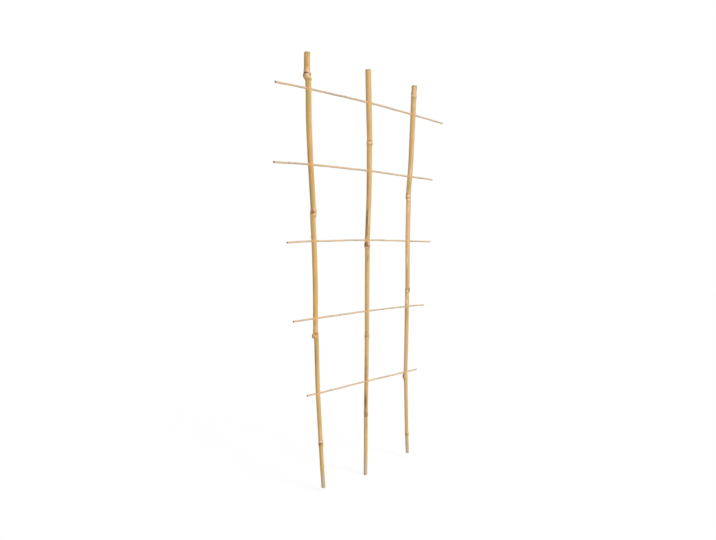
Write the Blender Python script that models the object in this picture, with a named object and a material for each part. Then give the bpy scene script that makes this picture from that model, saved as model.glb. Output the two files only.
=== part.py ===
"""Bamboo trellis: three upright canes, drilled across, and five thin sticks pushed through them.

Metres, +Z up. The origin is the centre of the middle cane's foot. X runs along the sticks and Y
is the trellis's front to back. Each cane is a piece of bamboo stood on its thin end, hollow
between its nodes, with a wall across the bore at every node.
"""

import math
from collections import namedtuple

import bmesh
import bpy

# Where the canes stand, centre to centre.
LEFT_FOOT_GAP = 0.114
RIGHT_FOOT_GAP = 0.130
LEFT_TOP_GAP = 0.157
RIGHT_TOP_GAP = 0.143
MIDDLE_LEAN = 0.0073

# The lowest stick's height, and the rise from each stick to the next one up.
BOTTOM_STICK_HEIGHT = 0.1770
LOWER_RISE = 0.1320
CENTRE_RISE = 0.1328
UPPER_RISE = 0.1287
TOP_RISE = 0.1258

# How far each cane's foot sits above the middle one's, and how far it stands above the top stick.
LEFT_FOOT_RISE = 0.0073
RIGHT_FOOT_RISE = 0.0102
LEFT_HEAD = 0.0578
MIDDLE_HEAD = 0.0603
RIGHT_HEAD = 0.0571

# Thickness of the canes.
LEFT_TOP_RADIUS = 0.00525
LEFT_FOOT_RADIUS = 0.00360
MIDDLE_TOP_RADIUS = 0.00545
MIDDLE_FOOT_RADIUS = 0.00350
RIGHT_TOP_RADIUS = 0.00540
RIGHT_FOOT_RADIUS = 0.00345
BORE_TOP_RADIUS = 0.0025
BORE_FOOT_RADIUS = 0.0012

# A node: half the height of its swelling, and the wall that closes the bore there.
NODE_REACH = 0.0075
NODE_WALL = 0.0030

# Thickness of the sticks, and how far they pass the outer canes.
BOTTOM_STICK_RADIUS = 0.00160
LOWER_STICK_RADIUS = 0.00165
CENTRE_STICK_RADIUS = 0.00165
UPPER_STICK_RADIUS = 0.00185
TOP_STICK_RADIUS = 0.00190
BOTTOM_LEFT_OVERHANG = 0.0258
BOTTOM_RIGHT_OVERHANG = 0.0380
LOWER_LEFT_OVERHANG = 0.0513
LOWER_RIGHT_OVERHANG = 0.0590
CENTRE_LEFT_OVERHANG = 0.0614
CENTRE_RIGHT_OVERHANG = 0.0813
UPPER_LEFT_OVERHANG = 0.0815
UPPER_RIGHT_OVERHANG = 0.0810
TOP_LEFT_OVERHANG = 0.0731
TOP_RIGHT_OVERHANG = 0.1052

# How much lower than at the middle cane each stick lies: at its left end, at the left cane, at the
# right cane and at its right end.
BOTTOM_DROPS = (0.0008, 0.0013, 0.0014, 0.0017)
LOWER_DROPS = (0.0036, 0.0023, 0.0003, 0.0015)
CENTRE_DROPS = (0.0051, 0.0027, 0.0010, 0.0022)
UPPER_DROPS = (0.0052, 0.0020, 0.0002, -0.0003)
TOP_DROPS = (0.0040, 0.0016, 0.0013, 0.0036)

# Gap all round a stick in its drilled hole.
SEAT_GAP = 0.0003

# A culm bends and swells in one plane, which each cane has turned this far towards the front.
LEFT_PLANE_TURN = math.radians(20.0)
MIDDLE_PLANE_TURN = math.radians(30.0)
RIGHT_PLANE_TURN = math.radians(25.0)

# Nodes of each cane, from the foot up: height, how far the swelling stands out, and how far it
# leans to the right in the culm's plane. The side that leans out changes from node to node.
LEFT_NODES = (
    (0.0855, 0.0009, 0.0002), (0.276, 0.0011, -0.0009), (0.487, 0.0009, 0.0006),
    (0.714, 0.0013, -0.0011),
)
MIDDLE_NODES = (
    (0.1150, 0.0003, 0.0002), (0.2615, 0.0007, 0.0002), (0.4325, 0.0010, 0.0001),
    (0.6215, 0.0009, 0.0003),
)
RIGHT_NODES = (
    (0.050, 0.0005, 0.0001), (0.166, 0.0010, -0.0006), (0.341, 0.0006, 0.0002),
    (0.530, 0.0005, -0.0002), (0.731, 0.0005, 0.0001),
)

# Natural bends of each cane: height, and how far right of the straight line in the culm's plane.
LEFT_BENDS = (
    (0.007, 0.0009), (0.040, -0.0002), (0.120, -0.0020), (0.190, -0.0030), (0.269, -0.0023),
    (0.284, -0.0032), (0.360, -0.0007), (0.430, 0.0), (0.480, -0.0006), (0.496, 0.0007),
    (0.570, -0.0009), (0.640, -0.0014), (0.707, 0.0002), (0.722, -0.0013), (0.754, 0.0),
)
MIDDLE_BENDS = (
    (0.0, 0.0), (0.060, 0.0003), (0.125, 0.0), (0.190, 0.0007), (0.268, 0.0010), (0.350, 0.0008),
    (0.424, 0.0008), (0.436, 0.0002), (0.470, 0.0015), (0.535, 0.0034), (0.610, 0.0035),
    (0.630, 0.0038), (0.690, 0.0018), (0.757, 0.0),
)
RIGHT_BENDS = (
    (0.010, 0.0007), (0.060, -0.0023), (0.155, -0.0063), (0.170, -0.0072), (0.245, -0.0069),
    (0.331, -0.0072), (0.345, -0.0066), (0.440, -0.0083), (0.521, -0.0081), (0.533, -0.0087),
    (0.590, -0.0050), (0.640, -0.0032), (0.715, -0.0012), (0.731, -0.0009), (0.753, 0.0),
)

# Fineness of the meshes.
CANE_SIDES = 16
BORE_SIDES = 8
STICK_SIDES = 10
DRILL_SIDES = 12
RING_PITCH = 0.030
LEAST_RING_STEP = 0.0012
NODE_RINGS = (-1.0, -0.6, -0.3, 0.0, 0.3, 0.6, 1.0)
SMOOTH_ANGLE = math.radians(50.0)

# A cutter runs this far past the face that it cuts, so that no two faces coincide.
CUT_PAST = 0.004

Cane = namedtuple("Cane", "name foot top foot_x top_x foot_radius top_radius plane_turn nodes bends")
Stick = namedtuple("Stick", "name height radius left_overhang right_overhang drops")

# Heights of the sticks, each above the one below.
LOWER_STICK_HEIGHT = BOTTOM_STICK_HEIGHT + LOWER_RISE
CENTRE_STICK_HEIGHT = LOWER_STICK_HEIGHT + CENTRE_RISE
UPPER_STICK_HEIGHT = CENTRE_STICK_HEIGHT + UPPER_RISE
TOP_STICK_HEIGHT = UPPER_STICK_HEIGHT + TOP_RISE

CANES = (
    Cane(
        "left_cane", LEFT_FOOT_RISE, TOP_STICK_HEIGHT + LEFT_HEAD, -LEFT_FOOT_GAP,
        MIDDLE_LEAN - LEFT_TOP_GAP, LEFT_FOOT_RADIUS, LEFT_TOP_RADIUS,
        LEFT_PLANE_TURN, LEFT_NODES, LEFT_BENDS,
    ),
    Cane(
        "middle_cane", 0.0, TOP_STICK_HEIGHT + MIDDLE_HEAD, 0.0,
        MIDDLE_LEAN, MIDDLE_FOOT_RADIUS, MIDDLE_TOP_RADIUS,
        MIDDLE_PLANE_TURN, MIDDLE_NODES, MIDDLE_BENDS,
    ),
    Cane(
        "right_cane", RIGHT_FOOT_RISE, TOP_STICK_HEIGHT + RIGHT_HEAD, RIGHT_FOOT_GAP,
        MIDDLE_LEAN + RIGHT_TOP_GAP, RIGHT_FOOT_RADIUS, RIGHT_TOP_RADIUS,
        RIGHT_PLANE_TURN, RIGHT_NODES, RIGHT_BENDS,
    ),
)

STICKS = (
    Stick(
        "bottom_stick", BOTTOM_STICK_HEIGHT, BOTTOM_STICK_RADIUS,
        BOTTOM_LEFT_OVERHANG, BOTTOM_RIGHT_OVERHANG, BOTTOM_DROPS,
    ),
    Stick(
        "lower_stick", LOWER_STICK_HEIGHT, LOWER_STICK_RADIUS,
        LOWER_LEFT_OVERHANG, LOWER_RIGHT_OVERHANG, LOWER_DROPS,
    ),
    Stick(
        "centre_stick", CENTRE_STICK_HEIGHT, CENTRE_STICK_RADIUS,
        CENTRE_LEFT_OVERHANG, CENTRE_RIGHT_OVERHANG, CENTRE_DROPS,
    ),
    Stick(
        "upper_stick", UPPER_STICK_HEIGHT, UPPER_STICK_RADIUS,
        UPPER_LEFT_OVERHANG, UPPER_RIGHT_OVERHANG, UPPER_DROPS,
    ),
    Stick(
        "top_stick", TOP_STICK_HEIGHT, TOP_STICK_RADIUS,
        TOP_LEFT_OVERHANG, TOP_RIGHT_OVERHANG, TOP_DROPS,
    ),
)

# Finish: colour, roughness and metallic value.
CANE_FINISH = ((0.62, 0.40, 0.16, 1.0), 0.42, 0.0)
STICK_FINISH = ((0.66, 0.52, 0.34, 1.0), 0.62, 0.0)


def clear_scene():
    """Remove whatever the scene starts with."""
    for item in list(bpy.data.objects):
        bpy.data.objects.remove(item, do_unlink=True)


def make_material(name, finish):
    """A plain Principled material."""
    colour, roughness, metallic = finish
    material = bpy.data.materials.new(name)
    material.use_nodes = True
    shader = material.node_tree.nodes["Principled BSDF"]
    shader.inputs["Base Color"].default_value = colour
    shader.inputs["Roughness"].default_value = roughness
    shader.inputs["Metallic"].default_value = metallic
    material.diffuse_color = colour
    return material


def slope_at(points, index):
    """Slope of a smooth curve at one of its points, from the points on either side."""
    low = points[max(index - 1, 0)]
    high = points[min(index + 1, len(points) - 1)]
    return (high[1] - low[1]) / (high[0] - low[0])


def smooth_value(points, at):
    """Value of the smooth curve through the points, level beyond its ends."""
    if at <= points[0][0]:
        return points[0][1]
    if at >= points[-1][0]:
        return points[-1][1]
    index = max(i for i, point in enumerate(points) if point[0] <= at)
    low, high = points[index], points[index + 1]
    step = high[0] - low[0]
    t = (at - low[0]) / step
    rise = 3.0 * t**2 - 2.0 * t**3
    leave = t - 2.0 * t**2 + t**3
    arrive = t**3 - t**2
    bend = leave * slope_at(points, index) + arrive * slope_at(points, index + 1)
    return low[1] + rise * (high[1] - low[1]) + bend * step


def share_up(cane, height):
    """How far up the cane a height is, 0 at the foot and 1 at the top."""
    return (height - cane.foot) / (cane.top - cane.foot)


def place_in_plane(cane, height, aside):
    """Sideways and front-to-back place that lies this far right of the cane's straight line."""
    straight = cane.foot_x + (cane.top_x - cane.foot_x) * share_up(cane, height)
    return straight + aside * math.cos(cane.plane_turn), -aside * math.sin(cane.plane_turn)


def cane_centre(cane, height):
    """Sideways and front-to-back place of the cane's centre at a height."""
    return place_in_plane(cane, height, smooth_value(cane.bends, height))


def nodes_on(cane):
    """The nodes that lie on the cane, clear of its two sawn ends."""
    return [node for node in cane.nodes if cane.foot + NODE_REACH < node[0] < cane.top - NODE_REACH]


def swell(node, height):
    """How much of a node's swelling is there at a height, from 0 to 1."""
    away = (height - node[0]) / NODE_REACH
    return (1.0 - away**2) ** 2 if abs(away) < 1.0 else 0.0


def cane_radius(cane, height):
    """Outer radius at a height: the taper, and the swelling of any node there."""
    taper = cane.foot_radius + (cane.top_radius - cane.foot_radius) * share_up(cane, height)
    return taper + sum(node[1] * swell(node, height) for node in nodes_on(cane))


def skin_centre(cane, height):
    """Centre of the cane's outside, which leans where a node swells more to one side."""
    lean = sum(node[2] * swell(node, height) for node in nodes_on(cane))
    return place_in_plane(cane, height, smooth_value(cane.bends, height) + lean)


def bore_radius(cane, height):
    """Radius of the hollow at a height."""
    return BORE_FOOT_RADIUS + (BORE_TOP_RADIUS - BORE_FOOT_RADIUS) * share_up(cane, height)


def line_through(near, far, x):
    """Value at x of the straight line through two points."""
    return near[1] + (far[1] - near[1]) / (far[0] - near[0]) * (x - near[0])


def stick_stations(stick):
    """Where a stick goes: its left end, its hole in each of the three canes, and its right end.

    Each is a sideways, a front-to-back and an upward place. The free ends run straight on.
    """
    holes = [cane_centre(cane, stick.height) for cane in CANES]
    left_x = holes[0][0] - stick.left_overhang
    right_x = holes[-1][0] + stick.right_overhang
    left_end = (left_x, line_through(holes[0], holes[1], left_x))
    right_end = (right_x, line_through(holes[-1], holes[-2], right_x))
    left_drop, left_cane_drop, right_cane_drop, right_drop = stick.drops
    drops = (left_drop, left_cane_drop, 0.0, right_cane_drop, right_drop)
    places = [left_end] + holes + [right_end]
    return [(x, y, stick.height - drop) for (x, y), drop in zip(places, drops)]


def stick_ring(stick, x, radius):
    """A ring square to X, centred on the stick's course."""
    stations = stick_stations(stick)
    y = smooth_value([(station[0], station[1]) for station in stations], x)
    z = smooth_value([(station[0], station[2]) for station in stations], x)
    return (x, y, z), radius, (0.0, 1.0, 0.0), (0.0, 0.0, 1.0)


def evenly(low, high, pitch):
    """Values from low to high, no further apart than the pitch."""
    count = max(1, math.ceil((high - low) / pitch))
    return [low + (high - low) * i / count for i in range(count + 1)]


def ring_heights(cane):
    """Heights of the cane's rings: even steps, with more at each node."""
    wanted = evenly(cane.foot, cane.top, RING_PITCH)
    at_nodes = [node[0] + NODE_REACH * part for node in nodes_on(cane) for part in NODE_RINGS]
    clear = [z for z in wanted[1:-1] if all(abs(z - n) > LEAST_RING_STEP for n in at_nodes)]
    return sorted([cane.foot, cane.top] + at_nodes + clear)


def add_tube(mesh, rings, sides):
    """Closed tube through rings, each a centre, a radius and the two directions of its plane."""
    loops = []
    for centre, radius, across, up in rings:
        loop = []
        for i in range(sides):
            turn = math.tau * (i + 0.5) / sides
            offset = [radius * (math.cos(turn) * a + math.sin(turn) * u) for a, u in zip(across, up)]
            loop.append(mesh.verts.new([c + o for c, o in zip(centre, offset)]))
        loops.append(loop)
    for low, high in zip(loops, loops[1:]):
        for i in range(sides):
            j = (i + 1) % sides
            mesh.faces.new((low[i], low[j], high[j], high[i]))
    mesh.faces.new(list(reversed(loops[0])))
    mesh.faces.new(loops[-1])


def make_object(name, mesh, material=None):
    """Turn a bmesh into an object with its faces pointing out."""
    bmesh.ops.recalc_face_normals(mesh, faces=mesh.faces)
    data = bpy.data.meshes.new(name)
    mesh.to_mesh(data)
    mesh.free()
    data.shade_smooth()
    data.set_sharp_from_angle(angle=SMOOTH_ANGLE)
    item = bpy.data.objects.new(name, data)
    bpy.context.scene.collection.objects.link(item)
    if material:
        data.materials.append(material)
    return item


def level_ring(place, height, radius):
    """A ring that lies level, for an upright tube."""
    return (place[0], place[1], height), radius, (1.0, 0.0, 0.0), (0.0, 1.0, 0.0)


def hollows(cane):
    """Low and high ends of the cane's hollows.

    A hollow runs from node wall to node wall. It is left out where neither a sawn end nor a
    drilled hole opens it, because nothing outside would show it.
    """
    walls = [node[0] for node in nodes_on(cane)]
    lows = [cane.foot - CUT_PAST] + [height + NODE_WALL / 2.0 for height in walls]
    highs = [height - NODE_WALL / 2.0 for height in walls] + [cane.top + CUT_PAST]
    drilled = [stick_stations(stick)[1 + CANES.index(cane)][2] for stick in STICKS]
    kept = []
    for low, high in zip(lows, highs):
        sawn = low < cane.foot or high > cane.top
        if sawn or any(low < height < high for height in drilled):
            kept.append((low, high))
    return kept


def add_cutter(cane_object, name, mesh):
    """Cut a bmesh out of a cane with a Boolean modifier."""
    cutter = make_object(name, mesh)
    cutter.hide_render = True
    cutter.display_type = "WIRE"
    modifier = cane_object.modifiers.new(name, "BOOLEAN")
    modifier.operation = "DIFFERENCE"
    modifier.solver = "EXACT"
    modifier.object = cutter


def build_cane(cane, material):
    """A hollow cane with its node walls and its drilled cross holes."""
    outer = bmesh.new()
    rings = [level_ring(skin_centre(cane, z), z, cane_radius(cane, z)) for z in ring_heights(cane)]
    add_tube(outer, rings, CANE_SIDES)
    item = make_object(cane.name, outer, material)

    bores = bmesh.new()
    for low, high in hollows(cane):
        steps = evenly(low, high, RING_PITCH)
        rings = [level_ring(cane_centre(cane, z), z, bore_radius(cane, z)) for z in steps]
        add_tube(bores, rings, BORE_SIDES)
    add_cutter(item, cane.name + "_bores", bores)

    drills = bmesh.new()
    for stick in STICKS:
        x = cane_centre(cane, stick.height)[0]
        reach = cane_radius(cane, stick.height) + CUT_PAST
        rings = [stick_ring(stick, end, stick.radius + SEAT_GAP) for end in (x - reach, x + reach)]
        add_tube(drills, rings, DRILL_SIDES)
    add_cutter(item, cane.name + "_drills", drills)


def build_stick(stick, material):
    """A thin round stick, sawn square at both ends."""
    stations = stick_stations(stick)
    places = evenly(stations[0][0], stations[-1][0], RING_PITCH)
    tube = bmesh.new()
    add_tube(tube, [stick_ring(stick, x, stick.radius) for x in places], STICK_SIDES)
    make_object(stick.name, tube, material)


def build():
    clear_scene()
    for cane in CANES:
        build_cane(cane, make_material(cane.name, CANE_FINISH))
    for stick in STICKS:
        build_stick(stick, make_material(stick.name, STICK_FINISH))


build()
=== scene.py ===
# %% [markdown]
# # A bamboo trellis
#
# The real object is a plant support: three garden canes, which are thin bamboo stems sawn to
# length, and five thin sticks split from thick bamboo. Holes are drilled across the canes and the
# sticks are pushed through them. There is no glue, no wire and no nail.
#
# The plain solids come first, as a fixed frame. This script dresses them: each solid is replaced
# by a mesh that is fine enough for nodes, buds, torn fibres and sawn ends, in the same place.

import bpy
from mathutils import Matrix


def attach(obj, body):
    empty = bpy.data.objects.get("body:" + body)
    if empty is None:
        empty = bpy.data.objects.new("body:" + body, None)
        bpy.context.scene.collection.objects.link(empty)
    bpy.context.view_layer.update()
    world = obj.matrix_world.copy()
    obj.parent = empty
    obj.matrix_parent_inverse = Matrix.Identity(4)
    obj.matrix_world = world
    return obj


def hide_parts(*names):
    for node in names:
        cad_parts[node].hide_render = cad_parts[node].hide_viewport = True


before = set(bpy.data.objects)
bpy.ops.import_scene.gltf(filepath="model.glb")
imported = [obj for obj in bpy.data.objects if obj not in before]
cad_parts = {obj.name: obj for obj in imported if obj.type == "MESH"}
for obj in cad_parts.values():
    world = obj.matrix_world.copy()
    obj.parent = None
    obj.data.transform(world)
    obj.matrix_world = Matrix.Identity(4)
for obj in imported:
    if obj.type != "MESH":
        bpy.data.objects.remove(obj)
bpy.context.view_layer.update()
print("plain solids:", ", ".join(sorted(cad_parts)))

# %% [markdown]
# ## The camera
#
# The photograph was taken from the left, a little above the middle of the trellis, so the sticks
# draw together towards the right. A focal length in pixels is what a perspective fit gives, and
# Blender wants it in millimetres on a sensor, so one is worked out from the other.

# %% Place the camera
import math

import bpy

PICTURE_WIDTH = 716.0
FOCAL_PIXELS = 650.0
SENSOR_WIDTH_MM = 36.0
CAMERA_PLACE = (-0.9173, -0.7900, 0.4326)
CAMERA_AZIMUTH = math.radians(-48.6)
CAMERA_TILT = math.radians(-2.2)


def place_camera():
    """The camera of the photograph: level but for a small tilt down."""
    lens = bpy.data.cameras.new("camera")
    lens.sensor_width = SENSOR_WIDTH_MM
    lens.lens = FOCAL_PIXELS * SENSOR_WIDTH_MM / PICTURE_WIDTH
    item = bpy.data.objects.new("camera", lens)
    item.location = CAMERA_PLACE
    item.rotation_euler = (math.pi / 2.0 + CAMERA_TILT, 0.0, CAMERA_AZIMUTH)
    bpy.context.scene.collection.objects.link(item)
    bpy.context.scene.camera = item
    return item


camera = place_camera()
print("lens: %.2f mm" % camera.data.lens)

# %% [markdown]
# ## The lines that the canes follow
#
# A cane is never straight. It leans, it bows, and it turns a little at every node. Each one is
# described by a straight line from foot to top, by a few bends away from it, and by its nodes. A
# smooth curve through few points keeps the bends natural, where many points would look shaky.
#
# A culm bends in one plane, because its buds stand in one plane, so each cane has one plane.

# %% What a cane is described by
from collections import namedtuple

import numpy as np

MM = 0.001

# A node: its middle, how far it swells and leans, how far above its middle the scar lies, how much
# higher the scar is on the bud's side, how far the skin flares out to it, how far under it the
# ridge lies, then the bud's push, how far under the scar it is and its half height. Last come how
# plain the dark scar, the pale ridge with its painted highlight and the bloom, and the green
# stretch below are.
NODE_FIELDS = "height swell lean rise dip flare ridge bud bud_fall bud_tall dark pale green"
PLAIN_NODE = (1.6 * MM, 0.0, 0.1 * MM, 3.3 * MM, 0.0, 1.9 * MM, 2.0 * MM, 0.3, 0.3, 0.2)
Node = namedtuple("Node", NODE_FIELDS, defaults=PLAIN_NODE)

# A cane: heights of its ends, their places sideways, their radii, how far its bent plane is turned,
# how bleached it is, its nodes, and its bends: how far right of the straight line at a height.
CANE_FIELDS = "name foot top foot_x top_x foot_radius top_radius plane_turn bleach nodes bends"
Cane = namedtuple("Cane", CANE_FIELDS)
print("a node has:", NODE_FIELDS)
print("a cane has:", CANE_FIELDS)

# %% Describe the left cane
LEFT_CANE = Cane(
    "left_cane", 0.0073, 0.7541, -0.1140, -0.1497, 0.00360, 0.00525, math.radians(20.0), 0.0,
    (
        Node(
            0.0855, 0.0009, 0.0002, rise=0.4 * MM, dip=3.0 * MM, ridge=-3.5 * MM,
            dark=0.6, pale=0.4, green=0.1,
        ),
        Node(
            0.276, 0.0011, -0.0009, rise=-2.8 * MM, flare=0.5 * MM, ridge=-4.5 * MM,
            bud=0.8 * MM, bud_fall=-3.6 * MM, bud_tall=5.0 * MM, dark=0.4, pale=0.1, green=0.9,
        ),
        Node(
            0.487, 0.0009, 0.0006, rise=1.5 * MM, dip=0.6 * MM, flare=0.4 * MM, ridge=4.6 * MM,
            dark=0.2, pale=0.5, green=0.1,
        ),
        Node(
            0.714, 0.0013, -0.0011, rise=3.5 * MM, dip=2.4 * MM, flare=0.6 * MM, ridge=7.0 * MM,
            bud=1.0 * MM, bud_fall=5.0 * MM, bud_tall=5.5 * MM, dark=0.8, pale=0.8, green=0.3,
        ),
    ),
    (
        (0.007, 0.0009), (0.040, -0.0002), (0.120, -0.0020), (0.190, -0.0030), (0.269, -0.0023),
        (0.284, -0.0032), (0.360, -0.0007), (0.430, 0.0), (0.480, -0.0006), (0.496, 0.0007),
        (0.570, -0.0009), (0.640, -0.0014), (0.707, 0.0002), (0.722, -0.0013), (0.754, 0.0),
    ),
)
print("left cane: %d nodes" % len(LEFT_CANE.nodes))

# %% Describe the middle cane
MIDDLE_CANE = Cane(
    "middle_cane", 0.0, 0.7566, 0.0, 0.0073, 0.00350, 0.00545, math.radians(30.0), 0.38,
    (
        Node(0.1150, 0.0003, 0.0002, rise=-0.7 * MM, ridge=-3.0 * MM, dark=0.4, pale=0.0, green=0.0),
        Node(0.2615, 0.0007, 0.0002, rise=0.4 * MM, dark=0.35, pale=0.1, green=0.0),
        Node(
            0.4325, 0.0010, 0.0001, rise=-2.0 * MM, ridge=2.4 * MM, bud=0.3 * MM, dark=0.3,
            pale=0.4, green=0.4,
        ),
        Node(0.6215, 0.0009, 0.0003, rise=4.0 * MM, dip=0.3 * MM, ridge=4.6 * MM, pale=0.4, green=0.0),
    ),
    (
        (0.0, 0.0), (0.060, 0.0003), (0.125, 0.0), (0.190, 0.0007), (0.268, 0.0010),
        (0.350, 0.0008), (0.424, 0.0008), (0.436, 0.0002), (0.470, 0.0015), (0.535, 0.0034),
        (0.610, 0.0035), (0.630, 0.0038), (0.690, 0.0018), (0.757, 0.0),
    ),
)
print("middle cane: %d nodes" % len(MIDDLE_CANE.nodes))

# %% Describe the right cane
RIGHT_CANE = Cane(
    "right_cane", 0.0102, 0.7534, 0.1300, 0.1503, 0.00345, 0.00540, math.radians(25.0), 0.48,
    (
        Node(0.050, 0.0005, 0.0001, rise=-2.0 * MM, ridge=-3.0 * MM, dark=0.6, pale=0.1, green=0.0),
        Node(
            0.166, 0.0010, -0.0006, rise=2.5 * MM, ridge=4.0 * MM, bud=0.7 * MM,
            bud_fall=1.0 * MM, bud_tall=7.5 * MM, dark=0.2, pale=0.1, green=0.1,
        ),
        Node(0.341, 0.0006, 0.0002, rise=2.0 * MM, bud=0.5 * MM, dark=0.2, pale=0.35, green=0.25),
        Node(
            0.530, 0.0005, -0.0002, rise=3.5 * MM, ridge=2.6 * MM, bud=0.4 * MM,
            bud_fall=6.4 * MM, bud_tall=2.6 * MM, dark=0.3, pale=0.4, green=0.0,
        ),
        Node(0.731, 0.0005, 0.0001, rise=2.5 * MM, ridge=2.0 * MM, dark=0.2, pale=0.6, green=0.1),
    ),
    (
        (0.010, 0.0007), (0.060, -0.0023), (0.155, -0.0063), (0.170, -0.0072), (0.245, -0.0069),
        (0.331, -0.0072), (0.345, -0.0066), (0.440, -0.0083), (0.521, -0.0081), (0.533, -0.0087),
        (0.590, -0.0050), (0.640, -0.0032), (0.715, -0.0012), (0.731, -0.0009), (0.753, 0.0),
    ),
)
print("right cane: %d nodes" % len(RIGHT_CANE.nodes))

# %% Follow the middle of a cane
CANES = (LEFT_CANE, MIDDLE_CANE, RIGHT_CANE)
NODE_REACH = 7.5 * MM


def smooth_value(points, at):
    """Values of the smooth curve through the points, level beyond its ends."""
    places, values = np.array(points, float).T
    slopes = np.gradient(values)
    slopes[1:-1] = (values[2:] - values[:-2]) / (places[2:] - places[:-2])
    slopes[0] = (values[1] - values[0]) / (places[1] - places[0])
    slopes[-1] = (values[-1] - values[-2]) / (places[-1] - places[-2])
    at = np.clip(at, places[0], places[-1])
    i = np.clip(np.searchsorted(places, at, side="right") - 1, 0, len(places) - 2)
    step = places[i + 1] - places[i]
    t = (at - places[i]) / step
    rise = 3.0 * t**2 - 2.0 * t**3
    bend = (t - 2.0 * t**2 + t**3) * slopes[i] + (t**3 - t**2) * slopes[i + 1]
    return values[i] + rise * (values[i + 1] - values[i]) + bend * step


def share_up(cane, up):
    """How far up the cane a height is, 0 at the foot and 1 at the top."""
    return (up - cane.foot) / (cane.top - cane.foot)


def place_in_plane(cane, up, aside):
    """Sideways and front-to-back place, this far right of the straight line in the bent plane."""
    straight = cane.foot_x + (cane.top_x - cane.foot_x) * share_up(cane, up)
    return straight + aside * math.cos(cane.plane_turn), -aside * math.sin(cane.plane_turn)


def cane_centre(cane, up):
    """Sideways and front-to-back place of the cane's middle at a height."""
    return place_in_plane(cane, up, smooth_value(cane.bends, up))


for cane in CANES:
    bow = 1000.0 * np.ptp([aside for _, aside in cane.bends])
    print("%s: %.0f mm tall, bends %.1f mm" % (cane.name, 1000.0 * (cane.top - cane.foot), bow))

# %% [markdown]
# ## Where the sticks run
#
# A stick goes through one hole in each cane, so its line follows from the canes. Its height, its
# droop and how far its ends stick out are its own. The droop is given at the ends and at the
# outer canes, as a difference from the height at the middle cane.

# %% Describe the five sticks
Stick = namedtuple("Stick", "name height radius left_overhang right_overhang drops")

STICKS = (
    Stick("bottom_stick", 0.1770, 0.00160, 0.0258, 0.0380, (0.0008, 0.0013, 0.0014, 0.0017)),
    Stick("lower_stick", 0.3090, 0.00165, 0.0513, 0.0590, (0.0036, 0.0023, 0.0003, 0.0015)),
    Stick("centre_stick", 0.4418, 0.00165, 0.0614, 0.0813, (0.0051, 0.0027, 0.0010, 0.0022)),
    Stick("upper_stick", 0.5705, 0.00185, 0.0815, 0.0810, (0.0052, 0.0020, 0.0002, -0.0003)),
    Stick("top_stick", 0.6963, 0.00190, 0.0731, 0.1052, (0.0040, 0.0016, 0.0013, 0.0036)),
)


def line_through(near, far, x):
    """Value at x of the straight line through two points."""
    return near[1] + (far[1] - near[1]) / (far[0] - near[0]) * (x - near[0])


def stick_stations(stick):
    """Left end, the three holes and right end of a stick, each as x, y and z."""
    holes = [cane_centre(cane, stick.height) for cane in CANES]
    left_x = holes[0][0] - stick.left_overhang
    right_x = holes[-1][0] + stick.right_overhang
    left_end = (left_x, line_through(holes[0], holes[1], left_x))
    right_end = (right_x, line_through(holes[-1], holes[-2], right_x))
    drops = (stick.drops[0], stick.drops[1], 0.0, stick.drops[2], stick.drops[3])
    places = [left_end] + holes + [right_end]
    return [(x, y, stick.height - drop) for (x, y), drop in zip(places, drops)]


def stick_course(stick, x):
    """Front-to-back place and height of a stick's middle at x."""
    stations = stick_stations(stick)
    y = smooth_value([(station[0], station[1]) for station in stations], x)
    z = smooth_value([(station[0], station[2]) for station in stations], x)
    return y, z


for stick in STICKS:
    ends = stick_stations(stick)
    print("%s: %.0f mm long" % (stick.name, 1000.0 * (ends[-1][0] - ends[0][0])))

# %% [markdown]
# ## What a node looks like
#
# A leaf sheath once clasped the stem at every node and left a thin scar with a sharp edge. Next
# to it on the growing side is a rounded ridge, and between the two sits a bud or a trimmed
# branch. From the bud a shallow groove runs on into the next stretch. These canes stand on their
# thin ends, so at most nodes here the scar is above and the ridge below, and the groove runs down.
#
# One way is to sculpt each node. Written as sums of smooth bumps in height and in angle, the
# relief stays the same each run and every node can differ by a few plain numbers.

# %% Smooth bumps and waves
def bell(away, width):
    """A smooth bump: 1 at the middle, fading over about its width."""
    return np.exp(-((away / width) ** 2))


def ease(value, low, high):
    """Smooth step from 0 at low to 1 at high."""
    t = np.clip((value - low) / (high - low), 0.0, 1.0)
    return t * t * (3.0 - 2.0 * t)


def wobble(turn, seed, counts):
    """An uneven wave round a circle, from about -1 to 1, the same each run."""
    phases = np.random.default_rng(seed).uniform(0.0, math.tau, len(counts))
    waves = [np.cos(count * turn + phase) for count, phase in zip(counts, phases)]
    return sum(waves) / math.sqrt(len(counts))


def around(turn, middle):
    """Angle from the middle, between minus and plus half a turn."""
    return (turn - middle + math.pi) % math.tau - math.pi


print("a bell one width from its middle: %.2f" % bell(1.0, 1.0))

# %% Relief of a node
SCAR_EDGE = 0.24 * MM
SCAR_EDGE_WIDTH = 0.42 * MM
SCAR_NOTCH = 0.14 * MM
SCAR_NOTCH_RISE = 0.85 * MM
SCAR_WAVES = (3, 7, 12, 19)
RAGGED_MEAN = 0.8
RAGGED_SWING = 0.35
SEED_PER_METRE = 10000.0
FLARE_UP = 4.0 * MM
FLARE_DOWN = 1.0 * MM
RIDGE_SHARE = 0.38
RIDGE_WIDTH = 1.7 * MM
BUD_LEAST_WIDTH = 1.1 * MM
BUD_WIDTH_SHARE = 0.2
BUD_TAPER = 0.35
BUD_TRIM = 0.75
GROOVE_DEPTH = 0.30 * MM
GROOVE_HALF_WIDTH = 1.5 * MM
GROOVE_LENGTH = 75.0 * MM
GROOVE_START = 3.0 * MM


def bud_side(cane, node):
    """The way that the node's bud faces, as an angle round the cane."""
    return (math.pi if node.lean < 0.0 else 0.0) - cane.plane_turn


def scar_height(cane, node, turn):
    """Height of the sheath scar, which rises towards the bud."""
    facing = 0.5 + 0.5 * np.cos(turn - bud_side(cane, node))
    return node.height + node.rise + node.dip * facing


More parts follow.
